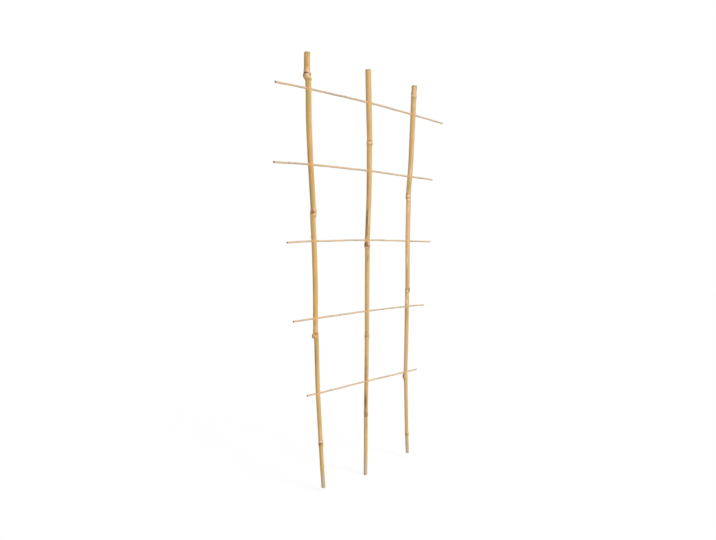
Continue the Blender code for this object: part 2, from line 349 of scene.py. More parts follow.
def node_swell(node, up):
    """How much of the node's swelling is there at a height, from 0 to 1."""
    away = np.clip(np.abs(up - node.height) / NODE_REACH, 0.0, 1.0)
    return (1.0 - away**2) ** 2


def bud_oval(node, above, arc):
    """0 at the middle of the bud, 1 at its edge. The bud is slimmer towards its tip below."""
    down = -(above + node.bud_fall) / node.bud_tall
    width = BUD_LEAST_WIDTH + BUD_WIDTH_SHARE * node.bud_tall
    slim = width * (1.0 - BUD_TAPER * np.clip(down, -1.0, 1.0))
    return (arc / slim) ** 2 + down**2


def node_relief(cane, node, up, turn, radius):
    """How far one node pushes the skin out."""
    above = up - scar_height(cane, node, turn)
    arc = radius * around(turn, bud_side(cane, node))
    broad = node.swell * (1.0 - 0.5 * RIDGE_SHARE) * node_swell(node, up)
    flare = node.flare * bell(above, np.where(above > 0.0, FLARE_UP, FLARE_DOWN))
    ridge = RIDGE_SHARE * node.swell * bell(above + node.ridge, RIDGE_WIDTH)
    ragged = RAGGED_MEAN + RAGGED_SWING * wobble(turn, int(node.height * SEED_PER_METRE), SCAR_WAVES)
    edge = SCAR_EDGE * ragged * bell(above, SCAR_EDGE_WIDTH)
    notch = SCAR_NOTCH * bell(above - SCAR_NOTCH_RISE, SCAR_EDGE_WIDTH)
    full = np.clip(1.0 - bud_oval(node, above, arc), 0.0, BUD_TRIM)
    down = -above - GROOVE_START
    fade = ease(down, 0.0, GROOVE_START) * (1.0 - ease(down, GROOVE_START, GROOVE_LENGTH))
    groove = GROOVE_DEPTH * fade * bell(arc, GROOVE_HALF_WIDTH)
    return broad + flare + ridge + edge - notch + node.bud * full / BUD_TRIM - groove


print("a node's swelling reaches %.1f mm up and down" % (NODE_REACH / MM))

# %% [markdown]
# Real nodes are also lumpy where branches were trimmed. No rule gives those bumps, so they are
# listed: height in metres, degrees to the right of the side that faces the camera, then half
# height, half width and push in millimetres.

# %% Relief of the whole skin
Bump = namedtuple("Bump", "height facing tall wide push")
BUMPS = {
    "left_cane": (
        Bump(0.7230, -75, 4.0, 2.5, 0.5), Bump(0.7174, 74, 1.4, 2.2, 0.9), Bump(0.7105, 75, 2.6, 2.4, 0.9),
        Bump(0.4925, 75, 5.0, 2.5, 0.8), Bump(0.4812, 75, 2.6, 2.4, 0.9), Bump(0.4835, -30, 1.2, 2.4, 0.3),
        Bump(0.2850, -75, 3.0, 2.2, 0.7), Bump(0.2738, -75, 2.0, 2.2, 0.7), Bump(0.2810, 75, 2.0, 2.2, 0.9),
        Bump(0.0838, 70, 1.8, 2.0, 0.5),
    ),
    "middle_cane": (
        Bump(0.6205, -70, 2.0, 2.4, 0.4), Bump(0.4290, -65, 2.0, 2.0, 0.5), Bump(0.4300, 60, 2.4, 2.0, 0.4),
        Bump(0.1145, 65, 2.0, 2.4, 0.3),
    ),
    "right_cane": (
        Bump(0.7290, 65, 2.2, 2.0, 0.4), Bump(0.5270, -60, 2.0, 2.0, 0.4), Bump(0.3390, -70, 2.6, 2.0, 0.5),
        Bump(0.3415, 50, 3.2, 1.8, -0.4), Bump(0.1725, -75, 2.2, 2.0, 0.7),
    ),
}
SKIN_SEED = 10
OVAL = 0.012
FLUTE = 0.025 * MM
FLUTE_WAVES = (5, 9, 14, 21)
TWIST_PER_METRE = 1.5


def camera_side(cane):
    """The way from a cane to the camera, as an angle round the cane."""
    x = 0.5 * (cane.foot_x + cane.top_x)
    return math.atan2(CAMERA_PLACE[1], CAMERA_PLACE[0] - x)


def patch(cane, place, up, turn, radius):
    """1 at the middle of a bump or a mark, fading to 0 over its half height and half width."""
    arc = radius * around(turn, camera_side(cane) + math.radians(place.facing))
    return np.exp(-(((up - place.height) / (place.tall * MM)) ** 2) - (arc / (place.wide * MM)) ** 2)


def skin_radius(cane, up, turn):
    """Radius of the skin at a height and an angle."""
    plain = cane.foot_radius + (cane.top_radius - cane.foot_radius) * share_up(cane, up)
    seed = SKIN_SEED + CANES.index(cane)
    drift = turn + TWIST_PER_METRE * up
    radius = plain * (1.0 + OVAL * np.cos(2.0 * drift + seed))
    radius = radius + FLUTE * wobble(drift, seed, FLUTE_WAVES)
    for node in cane.nodes:
        radius = radius + node_relief(cane, node, up, turn, plain)
    for bump in BUMPS[cane.name]:
        radius = radius + bump.push * MM * patch(cane, bump, up, turn, plain)
    return radius


def skin_centre(cane, up):
    """Middle of the skin, which leans where a node swells more to one side."""
    lean = sum(node.lean * node_swell(node, up) for node in cane.nodes)
    return place_in_plane(cane, up, smooth_value(cane.bends, up) + lean)


print("bumps:", sum(len(bumps) for bumps in BUMPS.values()))

# %% [markdown]
# ## Marks of age, painted shade and painted sheen
#
# No two stretches of a cane look alike. Sun, damp and handling leave long tints along the fibres.
# Some marks are painted light and shade instead: long olive ones towards the left are partly
# painted shade, long narrow olive, brown and dark ones near the edges are painted shade, long rosy
# and cream ones towards the right are painted sheen, one long cream one lightens a shaded edge, and
# one dark spot is the painted shadow of a splinter.
# Nodes carry small stains, bare pale spots and dark cracks, and drilling bruises the skin. The
# marks on the side that the picture shows are listed one by one. Those on the far side are drawn
# by lot, always the same ones, so that no side is plainer than another.
#
# Each row is one mark: its height in metres, how many degrees it lies to the right of the side
# that faces the camera, its half height and half width in millimetres, and its strength.

# %% Place the marks on the left cane
LEFT_MARKS = {
    # The long olive rows to the left are partly the cane's own olive and partly painted shade on the shaded
    # side; the narrow ones near the edge are painted shade.
    "olive_and_painted_shade": (
        (0.752, 10, 2, 6, 0.6), (0.739, -70, 16, 1.6, 0.9), (0.741, 38, 9, 2.4, 0.3),
        (0.736, 28, 15, 0.9, 0.9), (0.7105, 50, 3.4, 2.6, 1.1), (0.689, -18, 18, 3.4, 0.95),
        (0.648, -28, 42, 3.2, 1.2), (0.522, -12, 28, 3.6, 1.2), (0.245, -26, 22, 2.4, 1.2),
        (0.195, -62, 40, 1.6, 0.9), (0.046, -40, 26, 1.8, 0.9),
    ),
    "orange": (
        (0.738, -32, 14, 1.3, 0.9), (0.7085, -22, 3.2, 2.6, 0.5), (0.6935, 24, 8, 2.4, 0.6),
        (0.612, 16, 18, 2.6, 0.8), (0.652, 14, 20, 1.8, 0.6), (0.572, -20, 14, 2.4, 1),
        (0.576, -56, 22, 2.2, 1), (0.4395, 0, 3, 4, 0.9), (0.395, 4, 22, 2, 0.6),
        (0.340, -4, 24, 2, 0.8), (0.308, -6, 8, 3.6, 1), (0.2815, 4, 5.5, 3, 1.3),
        (0.178, -18, 26, 1.4, 0.7),
    ),
    # The long rosy rows 44 to 64 degrees to the right are painted sheen on the lit side; the rest are rosy
    # tints.
    "rosy_and_painted_sheen": (
        (0.742, 30, 9, 2.2, 0.7), (0.738, 64, 16, 1.6, 0.8), (0.7245, 5, 5, 4, 0.9),
        (0.7168, 8, 2.4, 4, 1.1), (0.714, -76, 6, 1.8, 0.9), (0.692, 62, 24, 2, 0.9),
        (0.640, 50, 36, 2.2, 0.8), (0.576, 52, 26, 2, 0.7), (0.512, 64, 22, 1.8, 0.8),
        (0.494, 12, 4, 3.6, 0.9), (0.2905, 6, 7, 4, 0.9), (0.2765, -32, 3, 2, 0.7),
        (0.104, 2, 10, 3.4, 0.7), (0.207, 44, 56, 2.4, 0.8), (0.062, 44, 14, 2.2, 0.8),
    ),
    # The long narrow brown rows 38 to 66 degrees to the left are painted shade along the shaded edge; the
    # short ones are stains.
    "brown_and_painted_shade": (
        (0.735, -42, 18, 2.2, 0.6), (0.7195, -14, 1.5, 4.4, 1), (0.7095, -62, 3.2, 2.2, 0.6),
        (0.6985, -58, 1.8, 1, 0.5), (0.556, -16, 9, 1.6, 0.42), (0.582, -38, 20, 2.6, 0.6),
        (0.525, -50, 30, 1.8, 0.7), (0.489, -14, 4.6, 2.2, 0.5), (0.4868, -26, 1.9, 1.5, 0.85),
        (0.4885, 10, 2.2, 1.4, 0.6), (0.497, 0, 12, 5, 0.35), (0.4806, 56, 1.7, 1.8, 0.7),
        (0.365, -66, 60, 1.1, 0.8), (0.2806, 0, 3, 1.7, 1), (0.280, 34, 2.6, 1.6, 0.8),
        (0.2765, -70, 4.8, 2.2, 0.9), (0.242, -40, 26, 1.2, 0.8), (0.0872, -10, 1.7, 3.4, 1.2),
        (0.084, -26, 3, 2.2, 0.45), (0.0812, -74, 1.8, 1.2, 1),
    ),
    # The row at 0.3125 m, 72 degrees to the left, is the painted shadow of the splinter at the lower hole.
    "dark": (
        (0.7195, -14, 1.1, 4, 0.8), (0.716, -50, 3.4, 1, 0.9), (0.7176, 58, 1.2, 2, 1),
        (0.3125, -72, 3, 1.6, 1.3), (0.2732, -54, 1, 2.4, 0.6), (0.0872, -26, 1.1, 1.6, 0.6),
    ),
    "cream_and_painted_light": (
        (0.7168, 10, 1.5, 2.6, 0.6), (0.4838, -44, 1, 1.8, 0.6), (0.4836, 8, 1, 1.5, 0.6),
        (0.0914, 6, 1.2, 1.3, 0.7),
    ),
}
print("left cane:", {kind: len(rows) for kind, rows in LEFT_MARKS.items()})

# %% Place the marks on the middle cane
MIDDLE_MARKS = {
    # The long narrow olive rows 32 to 42 degrees to the left are painted shade along the shaded edge.
    "olive_and_painted_shade": (
        (0.728, -42, 26, 1.8, 0.7), (0.392, -32, 30, 1.8, 0.6), (0.263, 0, 1.6, 4, 0.9),
        (0.070, -42, 36, 1.6, 0.9),
    ),
    "orange": (
        (0.6915, 8, 7, 3.4, 0.7), (0.631, 0, 5, 3, 0.7), (0.600, -5, 14, 2.2, 0.6),
        (0.440, -2, 3.4, 3, 0.9), (0.1835, -8, 5, 3, 0.7),
    ),
    "rosy_and_painted_sheen": ((0.4336, 28, 5, 1.8, 0.9), (0.330, 30, 50, 2, 0.5)),
    # The long narrow brown rows 22 to 62 degrees to the left and the one 66 degrees to the right are
    # painted shade along the edges.
    "brown_and_painted_shade": (
        (0.690, 66, 64, 1.3, 0.5), (0.662, -62, 28, 1.2, 0.7), (0.6262, 10, 1.4, 2.8, 0.9),
        (0.6206, -66, 1.1, 1, 0.7), (0.6186, 14, 0.9, 3.2, 0.75), (0.545, -34, 28, 1.7, 0.7),
        (0.480, -22, 27, 2, 0.9), (0.452, -12, 9, 1.6, 0.46), (0.429, 22, 4, 1.6, 0.46),
        (0.4336, -8, 5.4, 3.2, 1.1), (0.410, 16, 14, 1.6, 0.6), (0.269, -8, 7, 3.4, 0.45),
        (0.2624, 0, 0.8, 3.6, 0.7), (0.195, -14, 44, 2.2, 0.6), (0.137, -4, 18, 2.6, 0.85),
        (0.117, -6, 3.8, 3.2, 0.5), (0.112, -10, 1.1, 4, 0.9), (0.096, 26, 20, 2.6, 0.5),
    ),
    # The long dark row 34 degrees to the left is painted shade on the shaded side.
    "dark": (
        (0.474, -34, 24, 1, 0.8), (0.4352, -36, 2.4, 1.7, 1.2), (0.4316, -48, 2.4, 1.6, 1.1),
        (0.4312, 60, 2.2, 1.4, 0.8), (0.141, -24, 13, 1.2, 0.95), (0.002, -36, 2.4, 2, 0.7),
    ),
    # The long cream rows 14 and 26 degrees to the right are a painted highlight; the short ones are bare
    # pale spots.
    "cream_and_painted_light": (
        (0.6214, 60, 1.2, 1.6, 0.7), (0.6212, 0, 1.1, 2.4, 0.6), (0.4408, -38, 1.8, 1.4, 0.6),
        (0.480, 26, 28, 2.4, 0.5), (0.588, 14, 13, 3, 0.36), (0.428, -52, 1.2, 1.3, 1),
        (0.4278, 4, 1.2, 1.4, 0.9),
    ),
}
print("middle cane:", {kind: len(rows) for kind, rows in MIDDLE_MARKS.items()})

# %% Place the marks on the right cane
RIGHT_MARKS = {
    # The narrow olive rows 42 and 50 degrees to the left are painted shade along the shaded edge.
    "olive_and_painted_shade": (
        (0.712, -50, 12, 1.6, 0.6), (0.552, 0, 10, 5, 1), (0.398, -42, 26, 1.8, 0.4),
        (0.293, 8, 17, 3.4, 1.1), (0.088, 30, 22, 2, 0.7),
    ),
    "orange": (
        (0.688, -24, 10, 2.6, 1), (0.580, 0, 24, 4, 0.25), (0.5335, 0, 3, 4, 0.7),
        (0.513, 0, 26, 4, 0.6), (0.4405, 0, 4, 3.6, 0.7), (0.452, 0, 62, 4, 0.5),
        (0.164, -24, 6, 3, 1.1),
    ),
    "rosy_and_painted_sheen": ((0.744, 18, 9, 4, 0.9), (0.205, -24, 26, 2, 0.8), (0.1765, -20, 4, 3.2, 1)),
    # The long narrow brown rows 56 and 64 degrees to the left and 46 degrees to the right are painted shade
    # along the edges.
    "brown_and_painted_shade": (
        (0.748, 70, 6, 1.4, 0.9), (0.7285, 62, 3, 1.4, 0.9), (0.645, -64, 34, 1.1, 0.7),
        (0.5356, -42, 2.4, 2.2, 0.8), (0.527, -44, 2.2, 1.8, 1.1), (0.360, 46, 20, 1.6, 0.4),
        (0.3442, -44, 2, 1.6, 1), (0.180, 52, 1.2, 1, 0.8), (0.165, -58, 8.5, 2.4, 1.4),
        (0.0487, -10, 1.8, 4, 1), (0.028, -56, 18, 1.3, 0.8),
    ),
    "dark": (
        (0.7376, -42, 2.2, 1.8, 0.8), (0.7522, -24, 1.2, 2.2, 0.8), (0.7293, -14, 1.4, 1.5, 0.8),
        (0.3425, 42, 4.8, 1.7, 1.1), (0.169, -74, 4, 1.2, 0.8),
    ),
    # The long narrow cream row 64 degrees to the left is painted light over the shaded edge.
    "cream_and_painted_light": (
        (0.7322, -34, 1.2, 2.6, 1.2), (0.713, 5, 9, 4.5, 0.38), (0.580, -4, 22, 5, 0.4),
        (0.5313, 6, 1.3, 3.2, 0.6), (0.5243, 16, 1.2, 2.6, 0.5), (0.513, -4, 24, 5, 0.3),
        (0.455, -8, 60, 5, 0.42), (0.370, -64, 150, 1.7, 0.42), (0.398, -16, 18, 2, 0.36),
        (0.3395, -64, 3.4, 1.6, 0.7), (0.340, 8, 1.3, 1.1, 1), (0.3328, 32, 1.6, 1.1, 0.9),
        (0.321, -12, 15, 4, 0.52), (0.1752, -34, 2.6, 2.2, 1.1),
    ),
}
print("right cane:", {kind: len(rows) for kind, rows in RIGHT_MARKS.items()})

# %% Draw the marks of the far side and add all up
Mark = namedtuple("Mark", "kind height facing tall wide strength")
MARKS = {"left_cane": LEFT_MARKS, "middle_cane": MIDDLE_MARKS, "right_cane": RIGHT_MARKS}
TINTS_AND_PAINTED_LIGHT = ("olive_and_painted_shade", "orange", "rosy_and_painted_sheen")
STAINS_AND_PAINTED_LIGHT = ("brown_and_painted_shade", "dark", "cream_and_painted_light")
FAR_SEED = 90
FAR_TINTS = 16

# Spans that facing, half height, half width and strength are drawn from, and for stains also how
# far above the node's middle they lie.
FAR_TINT_SPANS = ((105.0, 255.0), (10.0, 40.0), (1.0, 2.8), (0.5, 1.0))
FAR_STAIN_RISE = (-4.0, 5.0)
FAR_STAIN_SPANS = ((100.0, 260.0), (0.9, 3.0), (0.9, 2.4), (0.6, 1.0))


def far_marks(cane):
    """Marks drawn by lot for the side that faces away from the camera."""
    chance = np.random.default_rng(FAR_SEED + CANES.index(cane))
    kinds = TINTS_AND_PAINTED_LIGHT + ("brown_and_painted_shade",)
    drawn = []
    for number in range(FAR_TINTS):
        height = chance.uniform(cane.foot, cane.top)
        rest = [chance.uniform(*span) for span in FAR_TINT_SPANS]
        drawn.append(Mark(kinds[number % len(kinds)], height, *rest))
    for node in cane.nodes:
        for kind in STAINS_AND_PAINTED_LIGHT + ("rosy_and_painted_sheen",):
            height = node.height + chance.uniform(*FAR_STAIN_RISE) * MM
            rest = [chance.uniform(*span) for span in FAR_STAIN_SPANS]
            drawn.append(Mark(kind, height, *rest))
    return drawn


def marks_of(cane):
    """All marks of a cane."""
    placed = [Mark(kind, *row) for kind, rows in MARKS[cane.name].items() for row in rows]
    return placed + far_marks(cane)


def mark_amounts(cane, up, turn, radius):
    """How much of each kind of mark there is at each point."""
    amounts = {kind: np.zeros(len(up)) for kind in TINTS_AND_PAINTED_LIGHT + STAINS_AND_PAINTED_LIGHT}
    for mark in marks_of(cane):
        amounts[mark.kind] += mark.strength * patch(cane, mark, up, turn, radius)
    return amounts


for cane in CANES:
    print("%s: %d marks" % (cane.name, len(marks_of(cane))))

# %% [markdown]
# ## A cane's skin
#
# The skin is a stack of level rings. A modifier such as Screw would give rings too, but all
# alike, and a node needs many where the long stretches need few. So the heights are chosen first:
# close together at nodes and holes, wide apart elsewhere.

# %% Choose the heights of a cane's rings
RINGS_APART = 3.5 * MM
NODE_RINGS_APART = 0.28 * MM
HOLE_RINGS_APART = 0.45 * MM
HOLE_ZONE = 3.6 * MM
SMALL_MARK = 3.0
MARK_ZONE_SHARE = 1.5
LEAST_STEP = 0.12 * MM
SAW_CHAMFER = 0.12 * MM


def hole_station(cane, stick):
    """Where a stick's middle passes a cane, as x, y and z."""
    return stick_stations(stick)[1 + CANES.index(cane)]


def hole_heights(cane):
    """Heights of the drilled holes in a cane."""
    return [hole_station(cane, stick)[2] for stick in STICKS]


def spread(middle, reach, apart):
    """Evenly spaced places on both sides of a middle."""
    return np.arange(middle - reach, middle + reach, apart)


def thinned(groups, low, high):
    """All places between two ends in order, with both ends, and none closer than the least step."""
    kept = [low]
    for place in np.sort(np.concatenate(groups)):
        if place - kept[-1] > LEAST_STEP and high - place > LEAST_STEP:
            kept.append(place)
    return np.array(kept + [high])


def ring_heights(cane):
    """Heights of the rings, close together at nodes, holes, small marks and the top."""
    groups = [spread(node.height, NODE_REACH + MM, NODE_RINGS_APART) for node in cane.nodes]
    groups += [spread(z, HOLE_ZONE, HOLE_RINGS_APART) for z in hole_heights(cane)]
    small = [mark for mark in marks_of(cane) if mark.tall < SMALL_MARK]
    groups += [spread(mark.height, MARK_ZONE_SHARE * mark.tall * MM, HOLE_RINGS_APART) for mark in small]
    groups.append(np.arange(cane.foot, cane.top, RINGS_APART))
    groups.append(np.arange(cane.top - HOLE_ZONE, cane.top, HOLE_RINGS_APART))
    return thinned(groups, cane.foot + SAW_CHAMFER, cane.top - SAW_CHAMFER)


for cane in CANES:
    print("%s: %d rings" % (cane.name, len(ring_heights(cane))))

# %% [markdown]
# The sawn ends are rings as well, shrinking to the middle, so that they can be rough. Bamboo splits
# when it is sawn, so small chips are missing from the top rims. They are made by pressing the
# points near the rim down.

# %% Shape the sawn ends of a cane
CANE_SIDES = 64
CAP_SHARES = (0.02, 0.2, 0.38, 0.52, 0.64, 0.76, 0.87, 0.95)
FOOT_SEED = 40
TOP_SEED = 50
SAW_ROUGHNESS = 0.05 * MM
CHIP_SHARE = 0.45

# Chips in a sawn top rim: degrees to the right of the side that faces the camera, half width in
# degrees, and depth in millimetres.
CHIPS = {
    "left_cane": ((-70, 12, 0.4), (35, 16, 0.35), (140, 12, 0.5), (230, 10, 0.4)),
    "middle_cane": ((-20, 14, 0.3), (75, 10, 0.4), (170, 16, 0.5)),
    "right_cane": ((-42, 9, 1.5), (12, 8, 1.2), (40, 9, 1.7), (120, 12, 0.8), (215, 12, 1.2)),
}


def circle(sides):
    """Angles of the points of a ring."""
    return np.arange(sides) * math.tau / sides


def level_ring(x, y, z, radius, turn):
    """Points of level rings round a middle."""
    return np.stack([x + radius * np.cos(turn), y + radius * np.sin(turn), z + 0.0 * turn], -1)


def ring_points(cane, heights, shrink=0.0, share=1.0):
    """Rings of points on the skin, or inside it for a share under 1."""
    up = np.asarray(heights, float)[:, None]
    turn = circle(CANE_SIDES)[None, :]
    radius = (skin_radius(cane, up, turn) - shrink) * share
    return level_ring(*skin_centre(cane, up), up, radius, turn)


def sawn_rings(cane, height, seed):
    """Rings that close a cane at a sawn end, from the middle out."""
    rough = np.random.default_rng(seed)
    rings = [ring_points(cane, [height], SAW_CHAMFER, share)[0] for share in CAP_SHARES + (1.0,)]
    for ring in rings:
        ring[:, 2] += rough.uniform(-SAW_ROUGHNESS, SAW_ROUGHNESS, CANE_SIDES)
    return rings


def chip_rim(cane, rings):
    """Break chips out of the top rim, by pressing the points near the top down."""
    depth = np.zeros(CANE_SIDES)
    for facing, half_width, deep in CHIPS[cane.name]:
        away = around(circle(CANE_SIDES), camera_side(cane) + math.radians(facing))
        depth = np.maximum(depth, deep * MM * bell(away, math.radians(half_width)))
    x, y = skin_centre(cane, cane.top)
    for ring in rings:
        share = np.hypot(ring[:, 0] - x, ring[:, 1] - y) / cane.top_radius
        fall = 1.0 - ease(cane.top - ring[:, 2], 0.0, HOLE_ZONE)
        ring[:, 2] -= depth * fall * ease(share, CHIP_SHARE, 1.0)


print("points round a cane:", CANE_SIDES)

# %% Join rings to a mesh
def closed_form(rings, loop=False):
    """Points and faces through rings: a bar from its low end to its high end, or a loop."""
    rings = np.array(rings)
    count, sides = rings.shape[:2]
    number = np.arange(count if loop else count - 1)[:, None]
    near, far = number * sides, (number + 1) % count * sides
    side = np.arange(sides)[None, :]
    after = (side + 1) % sides
    faces = np.stack([near + side, near + after, far + after, far + side], -1).reshape(-1, 4).tolist()
    if not loop:
        faces.append(list(range(sides))[::-1])
        faces.append(list(range((count - 1) * sides, count * sides)))
    return rings.reshape(-1, 3).tolist(), faces


def new_mesh(name, forms):
    """A mesh that holds closed forms as separate parts."""
    points, faces = [], []
    for more_points, more_faces in forms:
        faces += [[len(points) + i for i in face] for face in more_faces]
        points += more_points
    data = bpy.data.meshes.new(name)
    data.from_pydata(points, [], faces)
    return data


def skin_mesh(cane):
    """The outer form of a cane, before it is hollowed and drilled."""
    foot = sawn_rings(cane, cane.foot, FOOT_SEED + CANES.index(cane))
    side = list(ring_points(cane, ring_heights(cane)))
    top = sawn_rings(cane, cane.top, TOP_SEED + CANES.index(cane))[::-1]
    chip_rim(cane, side + top)
    return new_mesh(cane.name + "_skin", [closed_form(foot + side + top)])


print("faces of a bar through two rings of four points:", len(closed_form(np.zeros((2, 4, 3)))[1]))

# %% [markdown]
# ## Hollows and drilled holes
#
# A cane is a tube between its nodes and solid across each one. The hollows and the drilled holes
# could be modelled around. They are cut with Boolean modifiers, as a drill would cut, and with the
# exact solver, because it copes with faces that nearly meet.
#
# Each cutter carries a material, and the modifier hands it on to the faces that it cuts.

# %% Shape the cutters
BORE_FOOT_RADIUS = 1.2 * MM
BORE_TOP_RADIUS = 2.5 * MM
BORE_SIDES = 28
BORE_RINGS_APART = 12.0 * MM
BORE_UNEVEN = 0.05
BORE_TWIST_PER_METRE = 8.0
BORE_WAVES = (2, 3, 5)
BORE_SEED = 70
NODE_WALL = 3.0 * MM
CUT_PAST = 2.0 * MM
DRILL_PAST = 8.0 * MM
HOLE_SLACK = 0.10 * MM
HOLE_SIDES = 32


def hollows(cane):
    """Low and high ends of the hollows that a sawn end or a drilled hole opens."""
    walls = [node.height for node in cane.nodes]
    lows = [cane.foot - CUT_PAST] + [z + NODE_WALL / 2.0 for z in walls]
    highs = [z - NODE_WALL / 2.0 for z in walls] + [cane.top + CUT_PAST]
    kept = []
    for low, high in zip(lows, highs):
        open_end = low < cane.foot or high > cane.top
        if open_end or any(low < z < high for z in hole_heights(cane)):
            kept.append((low, high))
    return kept


def bore_rings(cane, low, high):
    """Rings of one hollow, a little uneven as a natural bore is."""
    steps = max(2, math.ceil((high - low) / BORE_RINGS_APART))
    turn = circle(BORE_SIDES)
    rings = []
    for up in np.linspace(low, high, steps + 1):
        plain = BORE_FOOT_RADIUS + (BORE_TOP_RADIUS - BORE_FOOT_RADIUS) * share_up(cane, up)
        uneven = BORE_UNEVEN * wobble(turn + BORE_TWIST_PER_METRE * up, BORE_SEED, BORE_WAVES)
        rings.append(level_ring(*cane_centre(cane, up), up, plain * (1.0 + uneven), turn))
    return rings


def upright_ring(x, y, z, radius, turn):
    """Points of upright rings round a middle, as a stick has."""
    return np.stack([x + 0.0 * turn, y + radius * np.cos(turn), z + radius * np.sin(turn)], -1)


def drill_rings(cane, stick):
    """Rings of the drill that makes a stick's hole in a cane."""
    x = hole_station(cane, stick)[0]
    reach = cane.top_radius + DRILL_PAST
    radius = stick.radius + HOLE_SLACK
    ends = (x - reach, x + reach)
    return [upright_ring(end, *stick_course(stick, end), radius, circle(HOLE_SIDES)) for end in ends]


print("hollows:", sum(len(hollows(cane)) for cane in CANES))

# %% Cut with them
SMOOTH_ANGLE = math.radians(42.0)


def link_object(name, data, material):
    """Show a mesh as an object in one material."""
    data.materials.append(material)
    item = bpy.data.objects.new(name, data)
    bpy.context.scene.collection.objects.link(item)
    return item


def cut(item, name, forms, material):
    """Cut closed forms out of an object. The cut faces take the material."""
    cutter = link_object(name, new_mesh(name, forms), material)
    modifier = item.modifiers.new(name, "BOOLEAN")
    modifier.operation = "DIFFERENCE"
    modifier.solver = "EXACT"
    modifier.material_mode = "TRANSFER"
    modifier.object = cutter
    graph = bpy.context.evaluated_depsgraph_get()
    made = bpy.data.meshes.new_from_object(item.evaluated_get(graph))
    item.modifiers.clear()
    old = item.data
    item.data = made
    bpy.data.meshes.remove(old)
    bpy.data.objects.remove(cutter)


def smooth(item):
    """Smooth shading, sharp where the surface turns a corner."""
    item.data.shade_smooth()
    item.data.set_sharp_from_angle(angle=SMOOTH_ANGLE)


# %% [markdown]
# ## Places for the colours
#
# The scar, the bud, the torn rim of a hole and the dusty foot all have colours of their own. An
# image could hold them, but a cane is a hundred times longer than it is thick, and no image would
# be sharp all along it. Instead every point is told how far it lies from each of these marks, in
# millimetres, and the material draws the marks from the distances. That stays sharp at any size.
#
# The fibres need a straight cane to follow, so each point also gets its place on one.

# %% Read places from a mesh and store values on it
def read(items, name, kind, width=1):
    """A value of every point, corner or face of a mesh, one row each."""
    values = np.empty(len(items) * width, kind)
    items.foreach_get(name, values)
    return values.reshape(-1, width)


def points_of(item):
    """The points of an object's mesh as an array."""
    return read(item.data.vertices, "co", np.float64, 3)


def store(item, name, *columns):
    """Keep three values for each point of a mesh, under a name that a material can read."""
    layer = item.data.attributes.new(name, "FLOAT_VECTOR", "POINT")
    layer.data.foreach_set("vector", np.stack(columns, -1).astype(np.float32).ravel())


def off_skin(cane, points):
    """How far points lie from the middle of a cane's skin, sideways and front to back."""
    x, y = skin_centre(cane, points[:, 2])
    return points[:, 0] - x, points[:, 1] - y


def off_bore(cane, points):
    """How far points lie from the middle of a cane's bore, sideways and front to back."""
    x, y = cane_centre(cane, points[:, 2])
    return points[:, 0] - x, points[:, 1] - y


def off_stick(stick, points):
    """How far points lie from the middle of a stick, front to back and up."""
    y, z = stick_course(stick, points[:, 0])
    return points[:, 1] - y, points[:, 2] - z


# %% Measure the marks on a cane
NEAR_NODE = 16.0
FAR_FROM_NODE = 30.0
NO_BUD = 9.0
GRAIN_APART = 1.37
FADE_WAVES = (1, 2, 4)
FADE_MEAN = 0.6
FADE_SEED_STEP = 17


def hole_distance(points):
    """Distance from each point to the nearest drilled hole's edge."""
    away = [np.hypot(*off_stick(stick, points)) - stick.radius - HOLE_SLACK for stick in STICKS]
    return np.min(away, axis=0)


def node_distances(cane, up, turn, radius):
    """Distances to the nearest node's scar, ridge and bud, and how plain its colours are."""
    heights = np.array([node.height for node in cane.nodes])
    nearest = np.abs(up[:, None] - heights[None, :]).argmin(axis=1)
    marks, looks = np.zeros((len(up), 3)), np.zeros((len(up), 3))
    marks[:, 2] = NO_BUD
    for i, node in enumerate(cane.nodes):
        mine = nearest == i
        above = (up - scar_height(cane, node, turn))[mine]
        arc = (radius * around(turn, bud_side(cane, node)))[mine]
        marks[mine, 0] = above / MM
        marks[mine, 1] = (above + node.ridge) / MM
        if node.bud:
            marks[mine, 2] = np.sqrt(bud_oval(node, above, arc))
        near = 1.0 - ease(np.abs(up[mine] - node.height) / MM, NEAR_NODE, FAR_FROM_NODE)
        for k, strength in enumerate((node.dark, node.pale, node.green)):
            wave = wobble(turn[mine], FADE_SEED_STEP * i + k, FADE_WAVES)
            looks[mine, k] = strength * near * np.clip(FADE_MEAN + FADE_MEAN * wave, 0.0, 1.0)
    return marks, looks


def mark_cane(item, cane):
    """Store the straight-cane place, the distances to the marks and their amounts."""
    points = points_of(item)
    up = points[:, 2]
    aside, behind = off_skin(cane, points)
    turn, radius = np.arctan2(behind, aside), np.hypot(behind, aside)
    store(item, "grain", aside, behind, up + GRAIN_APART * CANES.index(cane))
    marks, looks = node_distances(cane, up, turn, radius)
    store(item, "node_marks", *marks.T)
    store(item, "node_looks", *looks.T)
    amounts = mark_amounts(cane, up, turn, radius)
    store(item, "tints_and_painted_light", *[amounts[kind] for kind in TINTS_AND_PAINTED_LIGHT])
    store(item, "stains_and_painted_light", *[amounts[kind] for kind in STAINS_AND_PAINTED_LIGHT])
    store(item, "edges", hole_distance(points) / MM, (up - cane.foot) / MM, (cane.top - up) / MM)


# %% [markdown]
# ## Unrolling the surfaces
#
# A map unrolls the surfaces into a square, so that their colours can be painted into a square
# picture. A cane unrolled in one piece is a hairline in that square. Cut across into five lengths
# that lie side by side, it fills the square and its fibres stay sharp. The last strip of the square
# holds the sawn ends, the bores and the walls of the holes.

# %% Helpers for unrolling
UNROLLED = "OFBake"
ROLLED_SHARE = 0.90
EDGE = 0.005
BOX_PITCH = 1.1
Corners = namedtuple("Corners", "point middle normal slot")


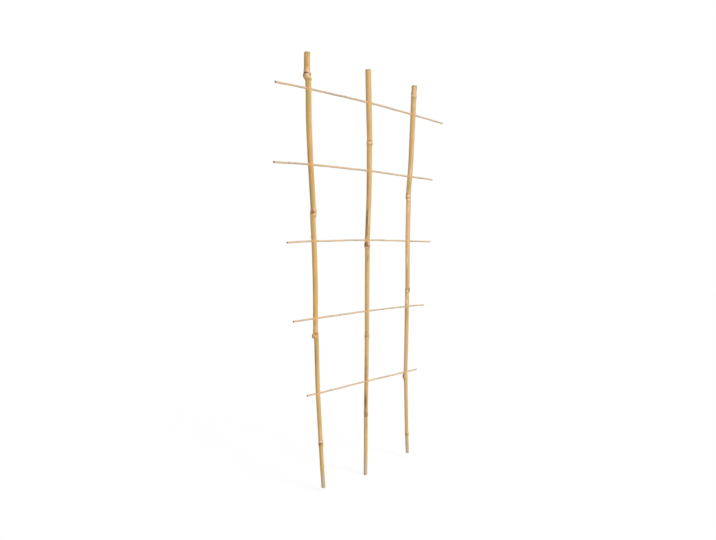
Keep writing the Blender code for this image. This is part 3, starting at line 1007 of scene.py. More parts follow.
def corners_of(item):
    """The corners of all faces: each one's point, and its face's middle, normal and slot."""
    data = item.data
    point = points_of(item)[read(data.loops, "vertex_index", np.int32)[:, 0]]
    sides = read(data.polygons, "loop_total", np.int32)[:, 0]
    face = np.repeat(np.arange(len(sides)), sides)
    middle = read(data.polygons, "center", np.float32, 3)[face]
    normal = read(data.polygons, "normal", np.float32, 3)[face]
    return Corners(point, middle, normal, read(data.polygons, "material_index", np.int32)[face, 0])


def turn_share(corners, off, round_what):
    """Share of a full turn that each corner lies at, without a jump inside a face."""
    first, second = off(round_what, corners.point)
    middle_first, middle_second = off(round_what, corners.middle)
    middle = np.arctan2(middle_second, middle_first)
    return 0.5 + (middle + around(np.arctan2(second, first), middle)) / math.tau


def cut_places(rings, lengths):
    """Where a long surface is cut across: at the rings nearest to equal lengths."""
    wanted = np.linspace(rings[0], rings[-1], lengths + 1)
    return rings[[int(np.abs(rings - place).argmin()) for place in wanted]]


def side_by_side(corners, axis, turned, cuts):
    """Place on the map for a long surface that is cut into lengths."""
    number = np.searchsorted(cuts, corners.middle[:, axis], side="right") - 1
    number = np.clip(number, 0, len(cuts) - 2)
    width = ROLLED_SHARE / (len(cuts) - 1)
    u = number * width + EDGE + (width - 2.0 * EDGE) * turned
    along = corners.point[:, axis] - cuts[number]
    return np.stack([u, EDGE + (1.0 - 2.0 * EDGE) * along / np.diff(cuts).max()], -1)


def boxed(first, second, box):
    """Place on the map for two shares from 0 to 1 in a box of low u, low v, width and height."""
    u, v, wide, tall = box
    return np.stack([u + wide * first, v + tall * second], -1)


def flat_end(corners, axes, centre, span, box):
    """Place on the map for a flat end, seen straight on."""
    pairs = zip(axes, centre)
    return boxed(*[0.5 + (corners.point[:, axis] - middle) / span for axis, middle in pairs], box)


def stacked(box, number):
    """The box that lies so many places above a first one."""
    u, v, wide, tall = box
    return u, v + BOX_PITCH * tall * number, wide, tall


def keep_map(item, places):
    """Give the mesh its map."""
    layer = item.data.uv_layers.new(name=UNROLLED)
    layer.data.foreach_set("uv", np.clip(places, 0.0, 1.0).astype(np.float32).ravel())


# %% Unroll a cane
CANE_LENGTHS = 5
LEVEL = 0.75
SAWN_SLOT = 1
PITH_SLOT = 2
CANE_SPAN = 14.0 * MM
BORE_SPAN = 6.0 * MM
ROUND_TO = 4
TOP_BOX = (0.905, 0.905, 0.090, 0.090)
FOOT_BOX = (0.905, 0.805, 0.090, 0.090)
BORE_BOX = (0.905, 0.010, 0.040, 0.785)
WALL_BOX = (0.955, 0.010, 0.035, 0.035)
HOLE_BOX = (0.955, 0.400, 0.040, 0.065)


def sawn_near(corners, height):
    """Which corners lie on sawn faces near a height."""
    return (corners.slot == SAWN_SLOT) & (np.abs(corners.middle[:, 2] - height) < HOLE_ZONE)


def unroll_bore(corners, cane, places):
    """The bore's wall, and the flat walls that close it, in strips of the map."""
    lined = corners.slot == PITH_SLOT
    wall = lined & (np.abs(corners.normal[:, 2]) < LEVEL)
    share = share_up(cane, corners.point[:, 2])
    places[wall] = boxed(turn_share(corners, off_bore, cane), share, BORE_BOX)[wall]
    flat = lined & ~wall
    centre = cane_centre(cane, corners.middle[:, 2])
    for number, level in enumerate(np.unique(np.round(corners.middle[flat, 2], ROUND_TO))):
        here = flat & (np.abs(corners.middle[:, 2] - level) < MM)
        places[here] = flat_end(corners, (0, 1), centre, BORE_SPAN, stacked(WALL_BOX, number))[here]


def unroll_holes(corners, cane, places):
    """The wall of each drilled hole, in a box of its own."""
    across = corners.point[:, 0] - cane_centre(cane, corners.middle[:, 2])[0]
    for number, stick in enumerate(STICKS):
        here = sawn_near(corners, hole_station(cane, stick)[2])
        share = turn_share(corners, off_stick, stick)
        places[here] = boxed(0.5 + across / CANE_SPAN, share, stacked(HOLE_BOX, number))[here]


def unroll_cane(item, cane):
    """Lay all the surfaces of a cane out flat."""
    corners = corners_of(item)
    cuts = cut_places(ring_heights(cane), CANE_LENGTHS)
    places = side_by_side(corners, 2, turn_share(corners, off_skin, cane), cuts)
    for end, box in ((cane.foot, FOOT_BOX), (cane.top, TOP_BOX)):
        here = sawn_near(corners, end)
        places[here] = flat_end(corners, (0, 1), skin_centre(cane, end), CANE_SPAN, box)[here]
    unroll_bore(corners, cane, places)
    unroll_holes(corners, cane, places)
    keep_map(item, places)


print("a length of a cane takes %.2f of the square's width" % (ROLLED_SHARE / CANE_LENGTHS))

# %% [markdown]
# ## Writing materials as sums
#
# A material is a tree of small nodes, and it is easier to read when it is written the way sums
# are written. A recipe adds one node for each step and gives back its output, so that one line of
# code is one step. It also keeps the colour so far, so that the next colour can be laid over it.

# %% Helpers for materials
FIBRE_NOISE = 0.6
SHEEN = 0.5


class Recipe:
    """The node tree of a material or a world, written as sums."""

    def __init__(self, owner):
        owner.use_nodes = True
        self.owner = owner
        self.tree = owner.node_tree
        self.colour = None

    def fill(self, node, inputs):
        """Give a node's sockets values or outputs, by place or by name."""
        pairs = inputs.items() if isinstance(inputs, dict) else enumerate(inputs)
        for place, value in pairs:
            if isinstance(value, bpy.types.NodeSocket):
                self.tree.links.new(value, node.inputs[place])
            else:
                node.inputs[place].default_value = value

    def add(self, kind, inputs=(), **settings):
        """Add a node."""
        node = self.tree.nodes.new(kind)
        for name, value in settings.items():
            setattr(node, name, value)
        self.fill(node, inputs)
        return node

    def attribute(self, name):
        """Three values stored on the mesh, together."""
        return self.add("ShaderNodeAttribute", attribute_name=name).outputs["Vector"]

    def parts(self, vector):
        """The three values of a vector, one by one."""
        return self.add("ShaderNodeSeparateXYZ", [vector]).outputs[:3]

    def maths(self, operation, a, b):
        """One sum of two numbers."""
        return self.add("ShaderNodeMath", [a, b], operation=operation).outputs[0]

    def plus(self, a, b):
        """Two numbers added."""
        return self.maths("ADD", a, b)

    def times(self, *factors):
        """Several numbers multiplied."""
        total = factors[0]
        for factor in factors[1:]:
            total = self.maths("MULTIPLY", total, factor)
        return total

    def scaled(self, grain, pattern):
        """A place scaled to a pattern: patches per metre across the fibres, and along them."""
        across, along = pattern
        scale = (across, across, along)
        return self.add("ShaderNodeMapping", {"Vector": grain, "Scale": scale}).outputs[0]

    def noise(self, grain, pattern, detail=3.0):
        """Cloudy noise from 0 to 1."""
        sockets = {"Scale": 1.0, "Detail": detail, "Roughness": FIBRE_NOISE}
        sockets["Vector"] = self.scaled(grain, pattern)
        return self.add("ShaderNodeTexNoise", sockets).outputs[0]

    def spots(self, grain, pattern):
        """Distance to the nearest of many scattered spots, and a random value for each spot."""
        sockets = {"Vector": self.scaled(grain, pattern), "Scale": 1.0}
        node = self.add("ShaderNodeTexVoronoi", sockets)
        return node.outputs["Distance"], self.parts(node.outputs["Color"])[0]

    def step(self, value, low, high):
        """Smooth step: 0 where the value is at low, 1 where it is at high."""
        sockets = {"Value": value, "From Min": low, "From Max": high}
        return self.add("ShaderNodeMapRange", sockets, interpolation_type="SMOOTHSTEP").outputs[0]

    def band(self, value, low, high, soft):
        """1 between low and high, fading to 0 over the soft distance on both sides."""
        return self.times(self.step(value, low - soft, low), self.step(value, high + soft, high))

    def lay(self, colour, *shares, way="MIX"):
        """Lay a colour over the one so far, by the product of the shares."""
        inputs = {0: self.times(*shares), 6: self.colour, 7: colour}
        node = self.add("ShaderNodeMix", inputs, data_type="RGBA", blend_type=way)
        self.colour = node.outputs[2]

    def finish(self, roughness, height, depth):
        """Join colour, roughness and bump to the material's shader."""
        bump = self.add("ShaderNodeBump", {"Strength": 1.0, "Distance": depth, "Height": height})
        sockets = {"Base Color": self.colour, "Roughness": roughness, "Normal": bump.outputs[0]}
        sockets["Specular IOR Level"] = SHEEN
        self.fill(self.tree.nodes["Principled BSDF"], sockets)
        return self.owner


# %% [markdown]
# ## Bamboo skin
#
# Dry bamboo skin is golden tan with a wax sheen. Close up it is made of long fine fibres. From
# further off it shows streaks of olive and orange that run far along it.
#
# A photograph of bamboo could be wrapped round it, but it would repeat and blur close up. Noise
# stretched along the fibres does neither. One recipe serves the three canes, with a share for how
# bleached each is: the middle and the right one are, the left one is not.

# %% Colour clean skin
GOLDEN = (0.558, 0.340, 0.092, 1.0)
# This olive also paints shade on the shaded side, where the marks ask for it.
OLIVE_AND_PAINTED_SHADE = (0.430, 0.310, 0.085, 1.0)
ORANGE = (0.690, 0.350, 0.090, 1.0)
BLEACHED = (0.625, 0.430, 0.225, 1.0)
BLOOM = (0.670, 0.430, 0.235, 1.0)
STREAK = (0.800, 0.740, 0.640, 1.0)
DARK_FIBRE = (0.760, 0.700, 0.600, 1.0)

# Patterns: how many patches a metre holds, across the fibres and along them.
CLOUDS = (70.0, 16.0)
WIDE_CLOUDS = (45.0, 7.0)
STREAKS = (330.0, 4.5)
BROAD_FIBRES = (620.0, 9.0)
FINE_FIBRES = (2600.0, 24.0)
HAIR_FIBRES = (7500.0, 45.0)


def colour_clean_skin(skin, grain, bleach, fine, broad):
    """Golden, with clouds, long streaks and fine fibres."""
    clouds = skin.noise(grain, CLOUDS, detail=2.0)
    wide = skin.noise(grain, WIDE_CLOUDS, detail=2.0)
    streak = skin.noise(grain, STREAKS, detail=2.0)
    hair = skin.noise(grain, HAIR_FIBRES, detail=2.0)
    skin.colour = GOLDEN
    skin.lay(OLIVE_AND_PAINTED_SHADE, skin.step(clouds, 0.45, 0.70), 0.6)
    skin.lay(ORANGE, skin.step(wide, 0.50, 0.72), 0.6)
    skin.lay(BLEACHED, bleach)
    skin.lay(BLOOM, skin.step(broad, 0.40, 0.75), 0.35)
    skin.lay(STREAK, skin.step(streak, 0.50, 0.34), 0.8, way="MULTIPLY")
    skin.lay(DARK_FIBRE, skin.step(hair, 0.50, 0.64), 0.5, way="MULTIPLY")
    skin.lay(DARK_FIBRE, skin.step(fine, 0.52, 0.30), 0.75, way="MULTIPLY")


# %% [markdown]
# At a node the scar is a broken red-brown line and the ridge is paler, partly in its own colour and
# partly as a painted highlight where it catches the light. Above the scar lies a pale, slightly
# pink bloom, and below it the skin is greener. The trimmed bud is dark.
#
# Tints and stains come from the marks, and with them the painted shade, painted sheen and painted
# shadow among the marks. A tint is wide and soft, so noise only frays it. A stain is small, and the
# fibres carry its edges up and down.

# %% Colour nodes and marks
# This rosy also paints sheen on the lit side, where the marks ask for it.
ROSY_AND_PAINTED_SHEEN = (0.640, 0.385, 0.220, 1.0)
SCAR = (0.120, 0.045, 0.020, 1.0)
# The pale ridge is partly a painted highlight, where the ridge catches the light.
PALE_RIDGE_AND_PAINTED_HIGHLIGHT = (0.760, 0.540, 0.330, 1.0)
BUD_BROWN = (0.260, 0.140, 0.095, 1.0)
# This brown also paints shade along the edges, where the marks ask for it.
BROWN_AND_PAINTED_SHADE = (0.240, 0.108, 0.035, 1.0)
# This dark also paints shade and a splinter's shadow, where the marks ask for it.
DARK_AND_PAINTED_SHADE = (0.100, 0.045, 0.018, 1.0)
# This cream also paints a highlight and light over a shaded edge, where the marks ask for it.
CREAM_AND_PAINTED_LIGHT = (0.850, 0.640, 0.430, 1.0)
STAIN_FIBRES = (1400.0, 130.0)


def colour_tints_and_painted_light(skin, uneven):
    """Lay the long tinted marks over the skin, with streaky edges; painted shade and painted sheen are
    among them.
    """
    for amount, tint in zip(skin.parts(skin.attribute("tints_and_painted_light")), (OLIVE_AND_PAINTED_SHADE, ORANGE, ROSY_AND_PAINTED_SHEEN)):
        skin.lay(tint, skin.step(skin.plus(amount, uneven), 0.10, 0.95), 0.85)


def colour_stains_and_painted_light(skin, grain):
    """Lay the stained marks over the skin; painted shade, a painted shadow and painted highlights are among
    them.
    """
    fibres = skin.noise(grain, STAIN_FIBRES, detail=2.0)
    uneven = skin.plus(skin.times(fibres, 2.2), -0.1)
    for amount, stain in zip(skin.parts(skin.attribute("stains_and_painted_light")), (BROWN_AND_PAINTED_SHADE, DARK_AND_PAINTED_SHADE, CREAM_AND_PAINTED_LIGHT)):
        skin.lay(stain, skin.step(skin.times(amount, uneven), 0.18, 0.75), 0.9)


def colour_nodes(skin, jitter):
    """Lay bloom, green, the pale ridge with its painted highlight, scar and bud over the skin, and give the
    share of the scar.
    """
    above, from_ridge, bud = skin.parts(skin.attribute("node_marks"))
    dark, pale, green = skin.parts(skin.attribute("node_looks"))
    line = skin.plus(above, jitter)
    skin.lay(BLOOM, skin.band(line, 0.9, 5.0, 7.0), pale, 0.6)
    skin.lay(OLIVE_AND_PAINTED_SHADE, skin.band(line, -16.0, -6.0, 9.0), green, 0.6)
    # The pale ridge: partly its own colour, partly a painted highlight.
    skin.lay(PALE_RIDGE_AND_PAINTED_HIGHLIGHT, skin.band(skin.plus(from_ridge, jitter), -0.8, 0.8, 0.7), pale, 0.9)
    scar = skin.times(skin.band(line, 0.10, 0.70, 0.35), dark)
    skin.lay(SCAR, scar)
    skin.lay(BUD_BROWN, skin.step(skin.plus(bud, skin.times(jitter, 0.3)), 1.05, 0.60), 0.55)
    return scar


# %% Make the skin material
TORN_RIM = (0.740, 0.480, 0.250, 1.0)
FOOT_GREY = (0.430, 0.350, 0.270, 1.0)
RAGGED_EDGES = (1500.0, 600.0)
SPECKS = (420.0, 190.0)
SKIN_BUMP = 0.06 * MM


def skin_material(cane):
    """Bamboo skin with its fibres, tinted marks, scars, buds, stained marks and hole rims, and the painted
    shade and sheen among the marks.
    """
    skin = Recipe(bpy.data.materials.new(cane.name + "_skin"))
    grain = skin.attribute("grain")
    hole, from_foot, from_top = skin.parts(skin.attribute("edges"))
    fine = skin.noise(grain, FINE_FIBRES)
    broad = skin.noise(grain, BROAD_FIBRES)
    ragged = skin.noise(grain, RAGGED_EDGES, detail=2.0)
    jitter = skin.times(skin.plus(ragged, -0.5), 0.9)

    colour_clean_skin(skin, grain, cane.bleach, fine, broad)
    colour_tints_and_painted_light(skin, skin.times(skin.plus(broad, -0.5), 0.6))
    scar = colour_nodes(skin, jitter)
    skin.lay(ORANGE, skin.step(hole, 4.5, 0.3), 0.60)
    colour_stains_and_painted_light(skin, grain)
    rim = skin.step(skin.plus(hole, jitter), 0.9, 0.2)
    skin.lay(TORN_RIM, rim, 0.8)
    skin.lay(FOOT_GREY, skin.step(from_foot, 45.0, 2.0), 0.70)
    skin.lay(DARK_AND_PAINTED_SHADE, skin.step(from_top, 1.6, 0.3), 0.4)
    distance, random = skin.spots(grain, SPECKS)
    skin.lay(BROWN_AND_PAINTED_SHADE, skin.step(distance, 0.22, 0.08), skin.step(random, 0.90, 0.93), 0.6)

    dull = skin.times(skin.maths("MAXIMUM", scar, rim), 0.35)
    roughness = skin.plus(skin.plus(skin.times(broad, 0.22), 0.30), dull)
    height = skin.plus(skin.times(fine, 0.55), skin.times(broad, 0.45))
    return skin.finish(roughness, height, SKIN_BUMP)


# %% [markdown]
# ## Sawn wood, pith and torn fibres
#
# Where bamboo is sawn or drilled it is pale straw, with the ends of dark fibre bundles as dots.
# The bore is lined with a thin papery skin. Torn fibres are the palest of all. The last two are
# plain clouds in two tones, so one function makes both.

# %% Make the materials of cut bamboo
STRAW = (0.560, 0.405, 0.215, 1.0)
BUNDLE = (0.200, 0.115, 0.055, 1.0)
PITH = (0.600, 0.470, 0.290, 1.0)
PITH_SHADE = (0.340, 0.235, 0.120, 1.0)
FIBRE = (0.690, 0.500, 0.280, 1.0)
FIBRE_SHADE = (0.420, 0.270, 0.120, 1.0)
CLOUD_ROUGHNESS = 0.2
CLOUD_START = 0.35
BUNDLES = (1900.0, 300.0)
SAWN_CLOUDS = (500.0, 500.0)
PITH_CLOUDS = (900.0, 120.0)
FIBRE_CLOUDS = (1400.0, 1400.0)


def sawn_material():
    """End grain: pale straw with dark dots."""
    wood = Recipe(bpy.data.materials.new("sawn_bamboo"))
    grain = wood.attribute("grain")
    distance, _ = wood.spots(grain, BUNDLES)
    cloud = wood.noise(grain, SAWN_CLOUDS)
    wood.colour = STRAW
    wood.lay(PITH_SHADE, cloud, 0.5)
    wood.lay(BUNDLE, wood.step(distance, 0.42, 0.18), 0.85)
    return wood.finish(wood.plus(wood.times(cloud, CLOUD_ROUGHNESS), 0.7), distance, SKIN_BUMP)


def cloudy_material(name, grained, pattern, shade, pale, all_pale, roughness):
    """Bamboo in two tones. Its clouds follow the grain, or space where a mesh has no grain."""
    wood = Recipe(bpy.data.materials.new(name))
    place = wood.attribute("grain") if grained else wood.add("ShaderNodeTexCoord").outputs["Object"]
    cloud = wood.noise(place, pattern)
    wood.colour = shade
    wood.lay(pale, wood.step(cloud, CLOUD_START, all_pale))
    return wood.finish(wood.plus(wood.times(cloud, CLOUD_ROUGHNESS), roughness), cloud, SKIN_BUMP)


sawn = sawn_material()
pith = cloudy_material("pith", True, PITH_CLOUDS, PITH_SHADE, PITH, 0.70, 0.75)
fibre = cloudy_material("torn_fibre", False, FIBRE_CLOUDS, FIBRE_SHADE, FIBRE, 0.65, 0.70)
print("materials of cut bamboo:", sawn.name, pith.name, fibre.name)

# %% [markdown]
# ## Make the canes
#
# Now the parts of the recipe come together: the skin, the cuts, the marks and the materials. Each
# cane takes the place of its plain solid and rides on the one body that the trellis has.

# %% Make the three canes
def paint_sawn_ends(item):
    """Give the sawn ends, chips too, the sawn material. Their faces are the first and the last."""
    item.data.materials.append(sawn)
    slots = np.zeros(len(item.data.polygons), np.int32)
    closing = len(CAP_SHARES) * CANE_SIDES
    slots[:closing] = SAWN_SLOT
    slots[-2 - closing:] = SAWN_SLOT
    item.data.polygons.foreach_set("material_index", slots)


def make_cane(cane):
    """One finished cane."""
    item = link_object(cane.name + "_culm", skin_mesh(cane), skin_material(cane))
    paint_sawn_ends(item)
    cut(item, "bores", [closed_form(bore_rings(cane, *ends)) for ends in hollows(cane)], pith)
    cut(item, "holes", [closed_form(drill_rings(cane, stick)) for stick in STICKS], sawn)
    smooth(item)
    mark_cane(item, cane)
    unroll_cane(item, cane)
    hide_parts(cane.name)
    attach(item, "root")
    return item


for cane in CANES:
    made = make_cane(cane)
    print("%s: %d faces" % (made.name, len(made.data.polygons)))

# %% [markdown]
# ## Torn rims
#
# A drill leaves a torn lip round its hole, with short fibres standing in it, and a few long
# splinters lift at holes and at the sawn tops. They are far thinner than a picture's pixel, but
# they catch the light, so a crossing shows as a pale break in the shaded side of the cane.
#
# A hair system could grow them. About a dozen short tapered tubes at each rim are quicker and stay
# plain meshes.

# %% Shape torn lips
LIP_SIDES = 6
LIP_STEPS = 56
LIP_LEAST = 0.10 * MM
LIP_MOST = 0.30 * MM
LIP_OUT = 0.6
LIP_WAVES = (3, 5, 8, 13)


def skin_x(cane, side, y, z):
    """Where the skin is, on the left (-1) or right (1) of a cane, at a place front to back."""
    centre_x, centre_y = skin_centre(cane, z)
    turn = np.arctan2(y - centre_y, side * cane.top_radius)
    radius = skin_radius(cane, z, turn)
    across = np.sqrt(np.maximum(radius**2 - (y - centre_y) ** 2, 0.0))
    return centre_x + side * across


def mouth(cane, stick, side):
    """Front-to-back place and height of the middle of a hole, where it leaves the cane."""
    return stick_course(stick, hole_station(cane, stick)[0] + side * cane.top_radius)


def lip_rings(cane, stick, side, seed):
    """A closed loop of small rings along the edge of a hole."""
    turn = circle(LIP_STEPS)
    uneven = 0.5 + 0.5 * wobble(turn, seed, LIP_WAVES)
    thick = LIP_LEAST + (LIP_MOST - LIP_LEAST) * np.clip(uneven, 0.0, 1.0)
    edge = upright_ring(0.0, *mouth(cane, stick, side), stick.radius + HOLE_SLACK + LIP_OUT * thick, turn)
    edge[:, 0] = skin_x(cane, side, edge[:, 1], edge[:, 2])
    spin = circle(LIP_SIDES)[None, :, None]
    out = upright_ring(0.0, 0.0, 0.0, 1.0, turn)[:, None, :]
    away = np.array([float(side), 0.0, 0.0])
    return edge[:, None, :] + thick[:, None, None] * (np.cos(spin) * out + np.sin(spin) * away)


# %% Shape fibres and splinters
HAIR_SIDES = 5
HAIR_STEPS = 4
HAIR_TAPER = 0.9
STEEP = 0.9
HAIRS_AT_HOLE = 11
HAIR_LENGTH = (0.5 * MM, 1.7 * MM)
HAIR_THICKNESS = 0.07 * MM
HAIR_ROOT = (0.1, 0.4)
HAIR_ASIDE = (0.4, 1.2)
HAIR_FORWARD = 0.7
HAIR_UP = (0.6, 1.4)
HAIR_BEND = (-0.5, 0.5)
SPLINTER_SAG = 0.06

# Long splinters: height of the root in metres, facing in degrees, then how far the tip goes up, how
# far it stands off and the radius of the root, in millimetres.
Splinter = namedtuple("Splinter", "height facing up off thick")
SPLINTERS = {
    "left_cane": (
        Splinter(0.4482, -84, -7.0, 2.6, 0.42), Splinter(0.3095, -80, 4.5, 1.2, 0.30),
        Splinter(0.7525, 50, 2.2, 0.3, 0.22), Splinter(0.1800, 150, 4.0, 1.2, 0.25),
    ),
    "middle_cane": (
        Splinter(0.4460, 60, 3.0, 0.9, 0.25), Splinter(0.6930, 200, -3.4, 1.0, 0.25),
        Splinter(0.7550, -60, 2.0, 0.2, 0.20),
    ),
    "right_cane": (
        Splinter(0.7515, -8, 2.6, 0.3, 0.26), Splinter(0.7510, 70, 2.2, 0.4, 0.22),
        Splinter(0.5680, 120, 4.0, 1.0, 0.26), Splinter(0.1790, -60, 2.4, 1.0, 0.26),
    ),
}


def hair_form(root, way, length, thickness, sag):
    """A short tapered fibre that bends as it goes."""
    way = np.array(way) / np.linalg.norm(way)
    first = np.cross(way, (0.0, 0.0, 1.0) if abs(way[2]) < STEEP else (1.0, 0.0, 0.0))
    first /= np.linalg.norm(first)
    second = np.cross(way, first)
    turn = circle(HAIR_SIDES)[:, None]
    outward = np.cos(turn) * first + np.sin(turn) * second
    rings = []
    for along in np.linspace(0.0, 1.0, HAIR_STEPS + 1):
        middle = np.array(root) + way * length * along + second * sag * length * along**2
        rings.append(middle + thickness * (1.0 - HAIR_TAPER * along) * outward)
    return closed_form(rings)


def hole_hair(cane, stick, side, chance):
    """One fibre that stands at the edge of a hole."""
    turn = chance.uniform(0.0, math.tau)
    reach = stick.radius + chance.uniform(*HAIR_ROOT) * MM
    y, z = mouth(cane, stick, side)
    root_y, root_z = y + reach * math.cos(turn), z + reach * math.sin(turn)
    root = (float(skin_x(cane, side, root_y, root_z)), root_y, root_z)
    aside = side * chance.uniform(*HAIR_ASIDE)
    way = (aside, HAIR_FORWARD * math.cos(turn), math.sin(turn) * chance.uniform(*HAIR_UP))
    length = chance.uniform(*HAIR_LENGTH)
    return hair_form(root, way, length, HAIR_THICKNESS, chance.uniform(*HAIR_BEND))


def splinter_form(cane, splinter):
    """A long splinter that is rooted in the skin."""
    turn = camera_side(cane) + math.radians(splinter.facing)
    radius = float(skin_radius(cane, splinter.height, turn)) - splinter.thick * MM
    x, y = skin_centre(cane, splinter.height)
    root = (float(x) + radius * math.cos(turn), float(y) + radius * math.sin(turn), splinter.height)
    off = (splinter.off + splinter.thick) * MM
    way = np.array([off * math.cos(turn), off * math.sin(turn), splinter.up * MM])
    return hair_form(root, way, float(np.linalg.norm(way)), splinter.thick * MM, SPLINTER_SAG)


# %% Make the torn rims
FRINGE_SEED = 200
LIP_SEED = 300
LIP_SEED_STEP = 10


def make_fringe(cane):
    """All torn rims of one cane."""
    chance = np.random.default_rng(FRINGE_SEED + CANES.index(cane))
    forms = []
    for number, stick in enumerate(STICKS):
        for side in (-1, 1):
            seed = LIP_SEED + LIP_SEED_STEP * number + side
            forms.append(closed_form(lip_rings(cane, stick, side, seed), loop=True))
            forms += [hole_hair(cane, stick, side, chance) for _ in range(HAIRS_AT_HOLE)]
    forms += [splinter_form(cane, splinter) for splinter in SPLINTERS[cane.name]]
    item = link_object(cane.name + "_torn_rims", new_mesh("rims", forms), fibre)
    smooth(item)
    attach(item, "root")
    return item


for cane in CANES:
    made = make_fringe(cane)
    print("%s: %d faces" % (made.name, len(made.data.polygons)))

# %% [markdown]
# ## The sticks
#
# A stick is split from a thick culm and scraped round, so it is pale, matt and straight-grained,
# not quite round and not quite straight. Somewhere it crosses an old node, where the fibres
# darken and swell a little. Its sawn ends are darker.
#
# Its rings stand upright along it. Near a hole it keeps to its line, so that it stays in the hole.

# %% Shape a stick
STICK_SEED = 500
RISE_SEED = 520
UNROUND_SEED = 540
STICK_SIDES = 28
STICK_RINGS_APART = 2.0 * MM
STICK_KNOT_RINGS_APART = 0.5 * MM
STICK_CAP_SHARES = (0.02, 0.38, 0.64, 0.87, 0.93)
STICK_UNROUND = 0.045
STICK_TWIST_PER_METRE = 9.0
STICK_UNEVEN = 0.16 * MM
WANDER_PER_METRE = (31.0, 37.0)
WANDER_WAVES = (1, 2, 4)
UNROUND_WAVES = (2, 3, 5)
HELD_BY_HOLE = 5.6 * MM
FREE_OF_HOLE = 14.0 * MM
KNOT_REACH = 3.0 * MM
KNOT_SWELL = 0.10 * MM
KNOTS = (0.062, -0.071, 0.048, -0.192, -0.058)


def knot_of(stick):
    """Place of a stick's knot along X."""
    return KNOTS[STICKS.index(stick)]


def stick_places(stick):
    """Places along X for a stick's rings, closer together at its knot."""
    low, *_, high = [station[0] for station in stick_stations(stick)]
    knot_rings = spread(knot_of(stick), KNOT_REACH, STICK_KNOT_RINGS_APART)
    return thinned([np.arange(low, high, STICK_RINGS_APART), knot_rings], low, high)


def close_sawn(points, y, z, seed):
    """Add the rings of both sawn ends to a stick's rings."""
    rough = np.random.default_rng(seed)
    rings = list(points)
    for end, outward in ((0, -1.0), (-1, 1.0)):
        edge = points[end]
        middle = np.array([edge[0, 0], y[end], z[end]])
        caps = []
        for share in STICK_CAP_SHARES:
            ring = middle + (edge - middle) * share
            ring[:, 0] += outward * share * rough.uniform(0.0, 2.0 * SAW_ROUGHNESS, STICK_SIDES)
            caps.append(ring)
        rings = caps + rings if end == 0 else rings + caps[::-1]
    return rings


def stick_rings(stick):
    """Rings of a stick, with its sawn ends closed by shrinking rings."""
    number = STICKS.index(stick)
    places = stick_places(stick)
    y, z = stick_course(stick, places)
    from_hole = np.min([np.abs(places - hole_station(cane, stick)[0]) for cane in CANES], axis=0)
    free = STICK_UNEVEN * ease(from_hole, HELD_BY_HOLE, FREE_OF_HOLE)
    y = y + free * wobble(WANDER_PER_METRE[0] * places, STICK_SEED + number, WANDER_WAVES)
    z = z + free * wobble(WANDER_PER_METRE[1] * places, RISE_SEED + number, WANDER_WAVES)
    turn, along = circle(STICK_SIDES)[None, :], places[:, None]
    drift = turn + STICK_TWIST_PER_METRE * along
    unround = wobble(drift, UNROUND_SEED + number, UNROUND_WAVES) - 1.0
    knot = KNOT_SWELL * bell(along - knot_of(stick), KNOT_REACH / 2.0)
    radius = stick.radius * (1.0 + STICK_UNROUND * unround) + knot
    points = upright_ring(along, y[:, None], z[:, None], radius, turn)
    return close_sawn(points, y, z, STICK_SEED + number)


def mark_stick(item, stick):
    """Store the place along the fibres and the distances to the marks."""
    points = points_of(item)
    x = points[:, 0]
    low, *_, high = [station[0] for station in stick_stations(stick)]
    shift = GRAIN_APART * (len(STICKS) + STICKS.index(stick))
    store(item, "grain", *off_stick(stick, points), x + shift)
    store(item, "edges", (x - low) / MM, (high - x) / MM, (x - knot_of(stick)) / MM)


for stick in STICKS:
    print("%s: %d rings" % (stick.name, len(stick_places(stick))))

# %% [markdown]
# The stick's material has more contrast in its fibres than the skin has, because the splitting
# opens them. The last millimetre at both ends is darker.

# %% Make the stick material
BEIGE = (0.590, 0.416, 0.246, 1.0)
STICK_ROSY = (0.572, 0.380, 0.230, 1.0)
STICK_GREY = (0.440, 0.368, 0.266, 1.0)
STICK_FIBRE = (0.720, 0.610, 0.490, 1.0)
KNOT_BROWN = (0.330, 0.200, 0.110, 1.0)
END_DARK = (0.150, 0.110, 0.090, 1.0)
STICK_CLOUDS = (60.0, 26.0)
STICK_BROAD = (900.0, 11.0)
STICK_FINE = (3400.0, 16.0)
STICK_BUNDLES = (2300.0, 300.0)
STICK_BUMP = 0.09 * MM


def stick_material():
    """Split bamboo: pale and matt, with long open fibres."""
    wood = Recipe(bpy.data.materials.new("split_bamboo"))
    grain = wood.attribute("grain")
    from_left, from_right, from_knot = wood.parts(wood.attribute("edges"))
    fine = wood.noise(grain, STICK_FINE, detail=4.0)
    broad = wood.noise(grain, STICK_BROAD)
    along = wood.noise(grain, STICK_CLOUDS, detail=2.0)
    wood.colour = BEIGE
    wood.lay(STICK_GREY, wood.step(along, 0.42, 0.62))
    wood.lay(STICK_ROSY, wood.step(broad, 0.45, 0.70), 0.8)
    wood.lay(STICK_FIBRE, wood.step(fine, 0.50, 0.28), way="MULTIPLY")
    wood.lay(KNOT_BROWN, wood.band(from_knot, -0.5, 0.5, 1.2), 0.6)
    bundles = wood.step(wood.spots(grain, STICK_BUNDLES)[0], 0.42, 0.18)
    for distance in (from_left, from_right):
        wood.lay(END_DARK, wood.step(distance, 1.3, 0.2), 0.65)
        wood.lay(DARK_AND_PAINTED_SHADE, wood.step(distance, 0.10, 0.03), bundles, 0.7)
    roughness = wood.plus(wood.times(broad, 0.2), 0.55)
    height = wood.plus(wood.times(fine, 0.6), wood.times(broad, 0.4))
    return wood.finish(roughness, height, STICK_BUMP)


split = stick_material()
print("material of the sticks:", split.name)

# %% Make the five sticks
STICK_LENGTHS = 6
STICK_END_BOXES = ((0.910, 0.010, 0.080, 0.080), (0.910, 0.110, 0.080, 0.080))
STICK_SPAN = 4.4 * MM


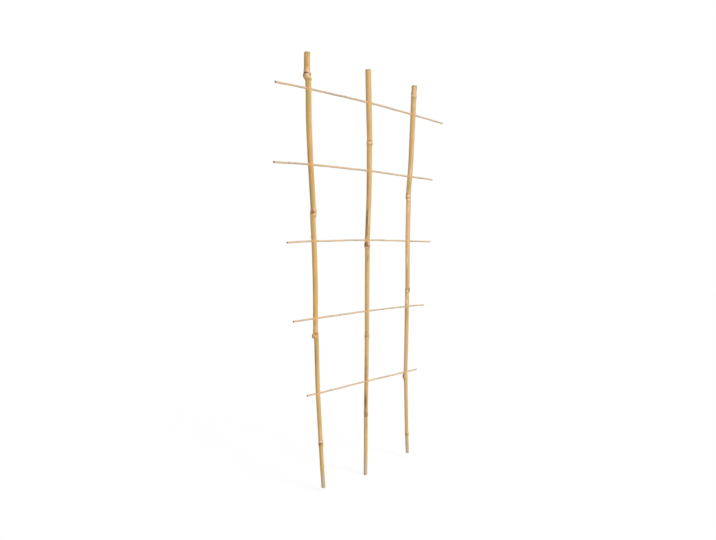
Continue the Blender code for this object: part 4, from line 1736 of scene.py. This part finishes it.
def unroll_stick(item, stick):
    """Lay a stick's side and its two sawn ends out flat."""
    corners = corners_of(item)
    cuts = cut_places(stick_places(stick), STICK_LENGTHS)
    places = side_by_side(corners, 0, turn_share(corners, off_stick, stick), cuts)
    centre = stick_course(stick, corners.point[:, 0])
    for side, box in zip((-1.0, 1.0), STICK_END_BOXES):
        here = side * corners.normal[:, 0] > LEVEL
        places[here] = flat_end(corners, (1, 2), centre, STICK_SPAN, box)[here]
    keep_map(item, places)


def make_stick(stick):
    """One finished stick."""
    data = new_mesh(stick.name, [closed_form(stick_rings(stick))])
    item = link_object(stick.name + "_split", data, split)
    smooth(item)
    mark_stick(item, stick)
    unroll_stick(item, stick)
    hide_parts(stick.name)
    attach(item, "root")
    return item


for stick in STICKS:
    made = make_stick(stick)
    print("%s: %d faces" % (made.name, len(made.data.polygons)))

# %% [markdown]
# ## Floor, backdrop and light
#
# The picture is a studio one on white. The floor is a pale plane, and what the camera sees of it
# is lifted to white, so that only a faint shadow is left. The main light is wide and soft and
# stands to the camera's right, which leaves the left side of every cane in shade.

# %% Set the stage
WHITE = (1.0, 1.0, 1.0, 1.0)
FLOOR_SIZE = 12.0
FLOOR_COLOUR = (0.94, 0.94, 0.94, 1.0)
FLOOR_ROUGHNESS = 0.9
FLOOR_LIFT = 0.86
WORLD_LEVEL = 0.52
KEY_LEVEL = 2.6
KEY_SOFTNESS = math.radians(25.0)
KEY_RISE = math.radians(42.0)


def seen_share(stage):
    """1 for rays from the camera and for mirrored or bent ones, 0 for the rest."""
    path = stage.add("ShaderNodeLightPath").outputs
    seen = stage.maths("MAXIMUM", path["Is Camera Ray"], path["Is Glossy Ray"])
    return stage.maths("MAXIMUM", seen, path["Is Transmission Ray"])


def show_white(stage, share, plain, glow, output):
    """Mix a white glow into what is seen, by a share, and join it to the output."""
    white = stage.add(glow, {"Color": WHITE, "Strength": 1.0})
    both = stage.add("ShaderNodeMixShader", [share, plain.outputs[0], white.outputs[0]])
    stage.fill(stage.tree.nodes[output], {"Surface": both.outputs[0]})


def make_floor():
    """A pale floor that looks white to the camera but keeps the shadow."""
    data = bpy.data.meshes.new("floor")
    half = FLOOR_SIZE / 2.0
    corners = [(-half, -half, 0.0), (half, -half, 0.0), (half, half, 0.0), (-half, half, 0.0)]
    data.from_pydata(corners, [], [(0, 1, 2, 3)])
    stage = Recipe(bpy.data.materials.new("floor"))
    shader = stage.tree.nodes["Principled BSDF"]
    stage.fill(shader, {"Base Color": FLOOR_COLOUR, "Roughness": FLOOR_ROUGHNESS})
    share = stage.times(seen_share(stage), FLOOR_LIFT)
    show_white(stage, share, shader, "ShaderNodeEmission", "Material Output")
    item = link_object("floor", data, stage.owner)


def light_world():
    """An even grey light from all round, which the camera sees as white."""
    stage = Recipe(bpy.data.worlds.new("studio"))
    bpy.context.scene.world = stage.owner
    grey = stage.tree.nodes["Background"]
    stage.fill(grey, {"Color": WHITE, "Strength": WORLD_LEVEL})
    show_white(stage, seen_share(stage), grey, "ShaderNodeBackground", "World Output")


def add_key():
    """A wide soft light, far off, so that it falls evenly on the trellis and on the floor."""
    lamp = bpy.data.lights.new("key", "SUN")
    lamp.energy = KEY_LEVEL
    lamp.angle = KEY_SOFTNESS
    item = bpy.data.objects.new("key", lamp)
    item.rotation_euler = (math.pi / 2.0 - KEY_RISE, 0.0, 0.0)
    bpy.context.scene.collection.objects.link(item)


make_floor()
light_world()
add_key()
bpy.context.scene.view_settings.view_transform = "Standard"
print("key light: %.0f degrees above level" % math.degrees(KEY_RISE))
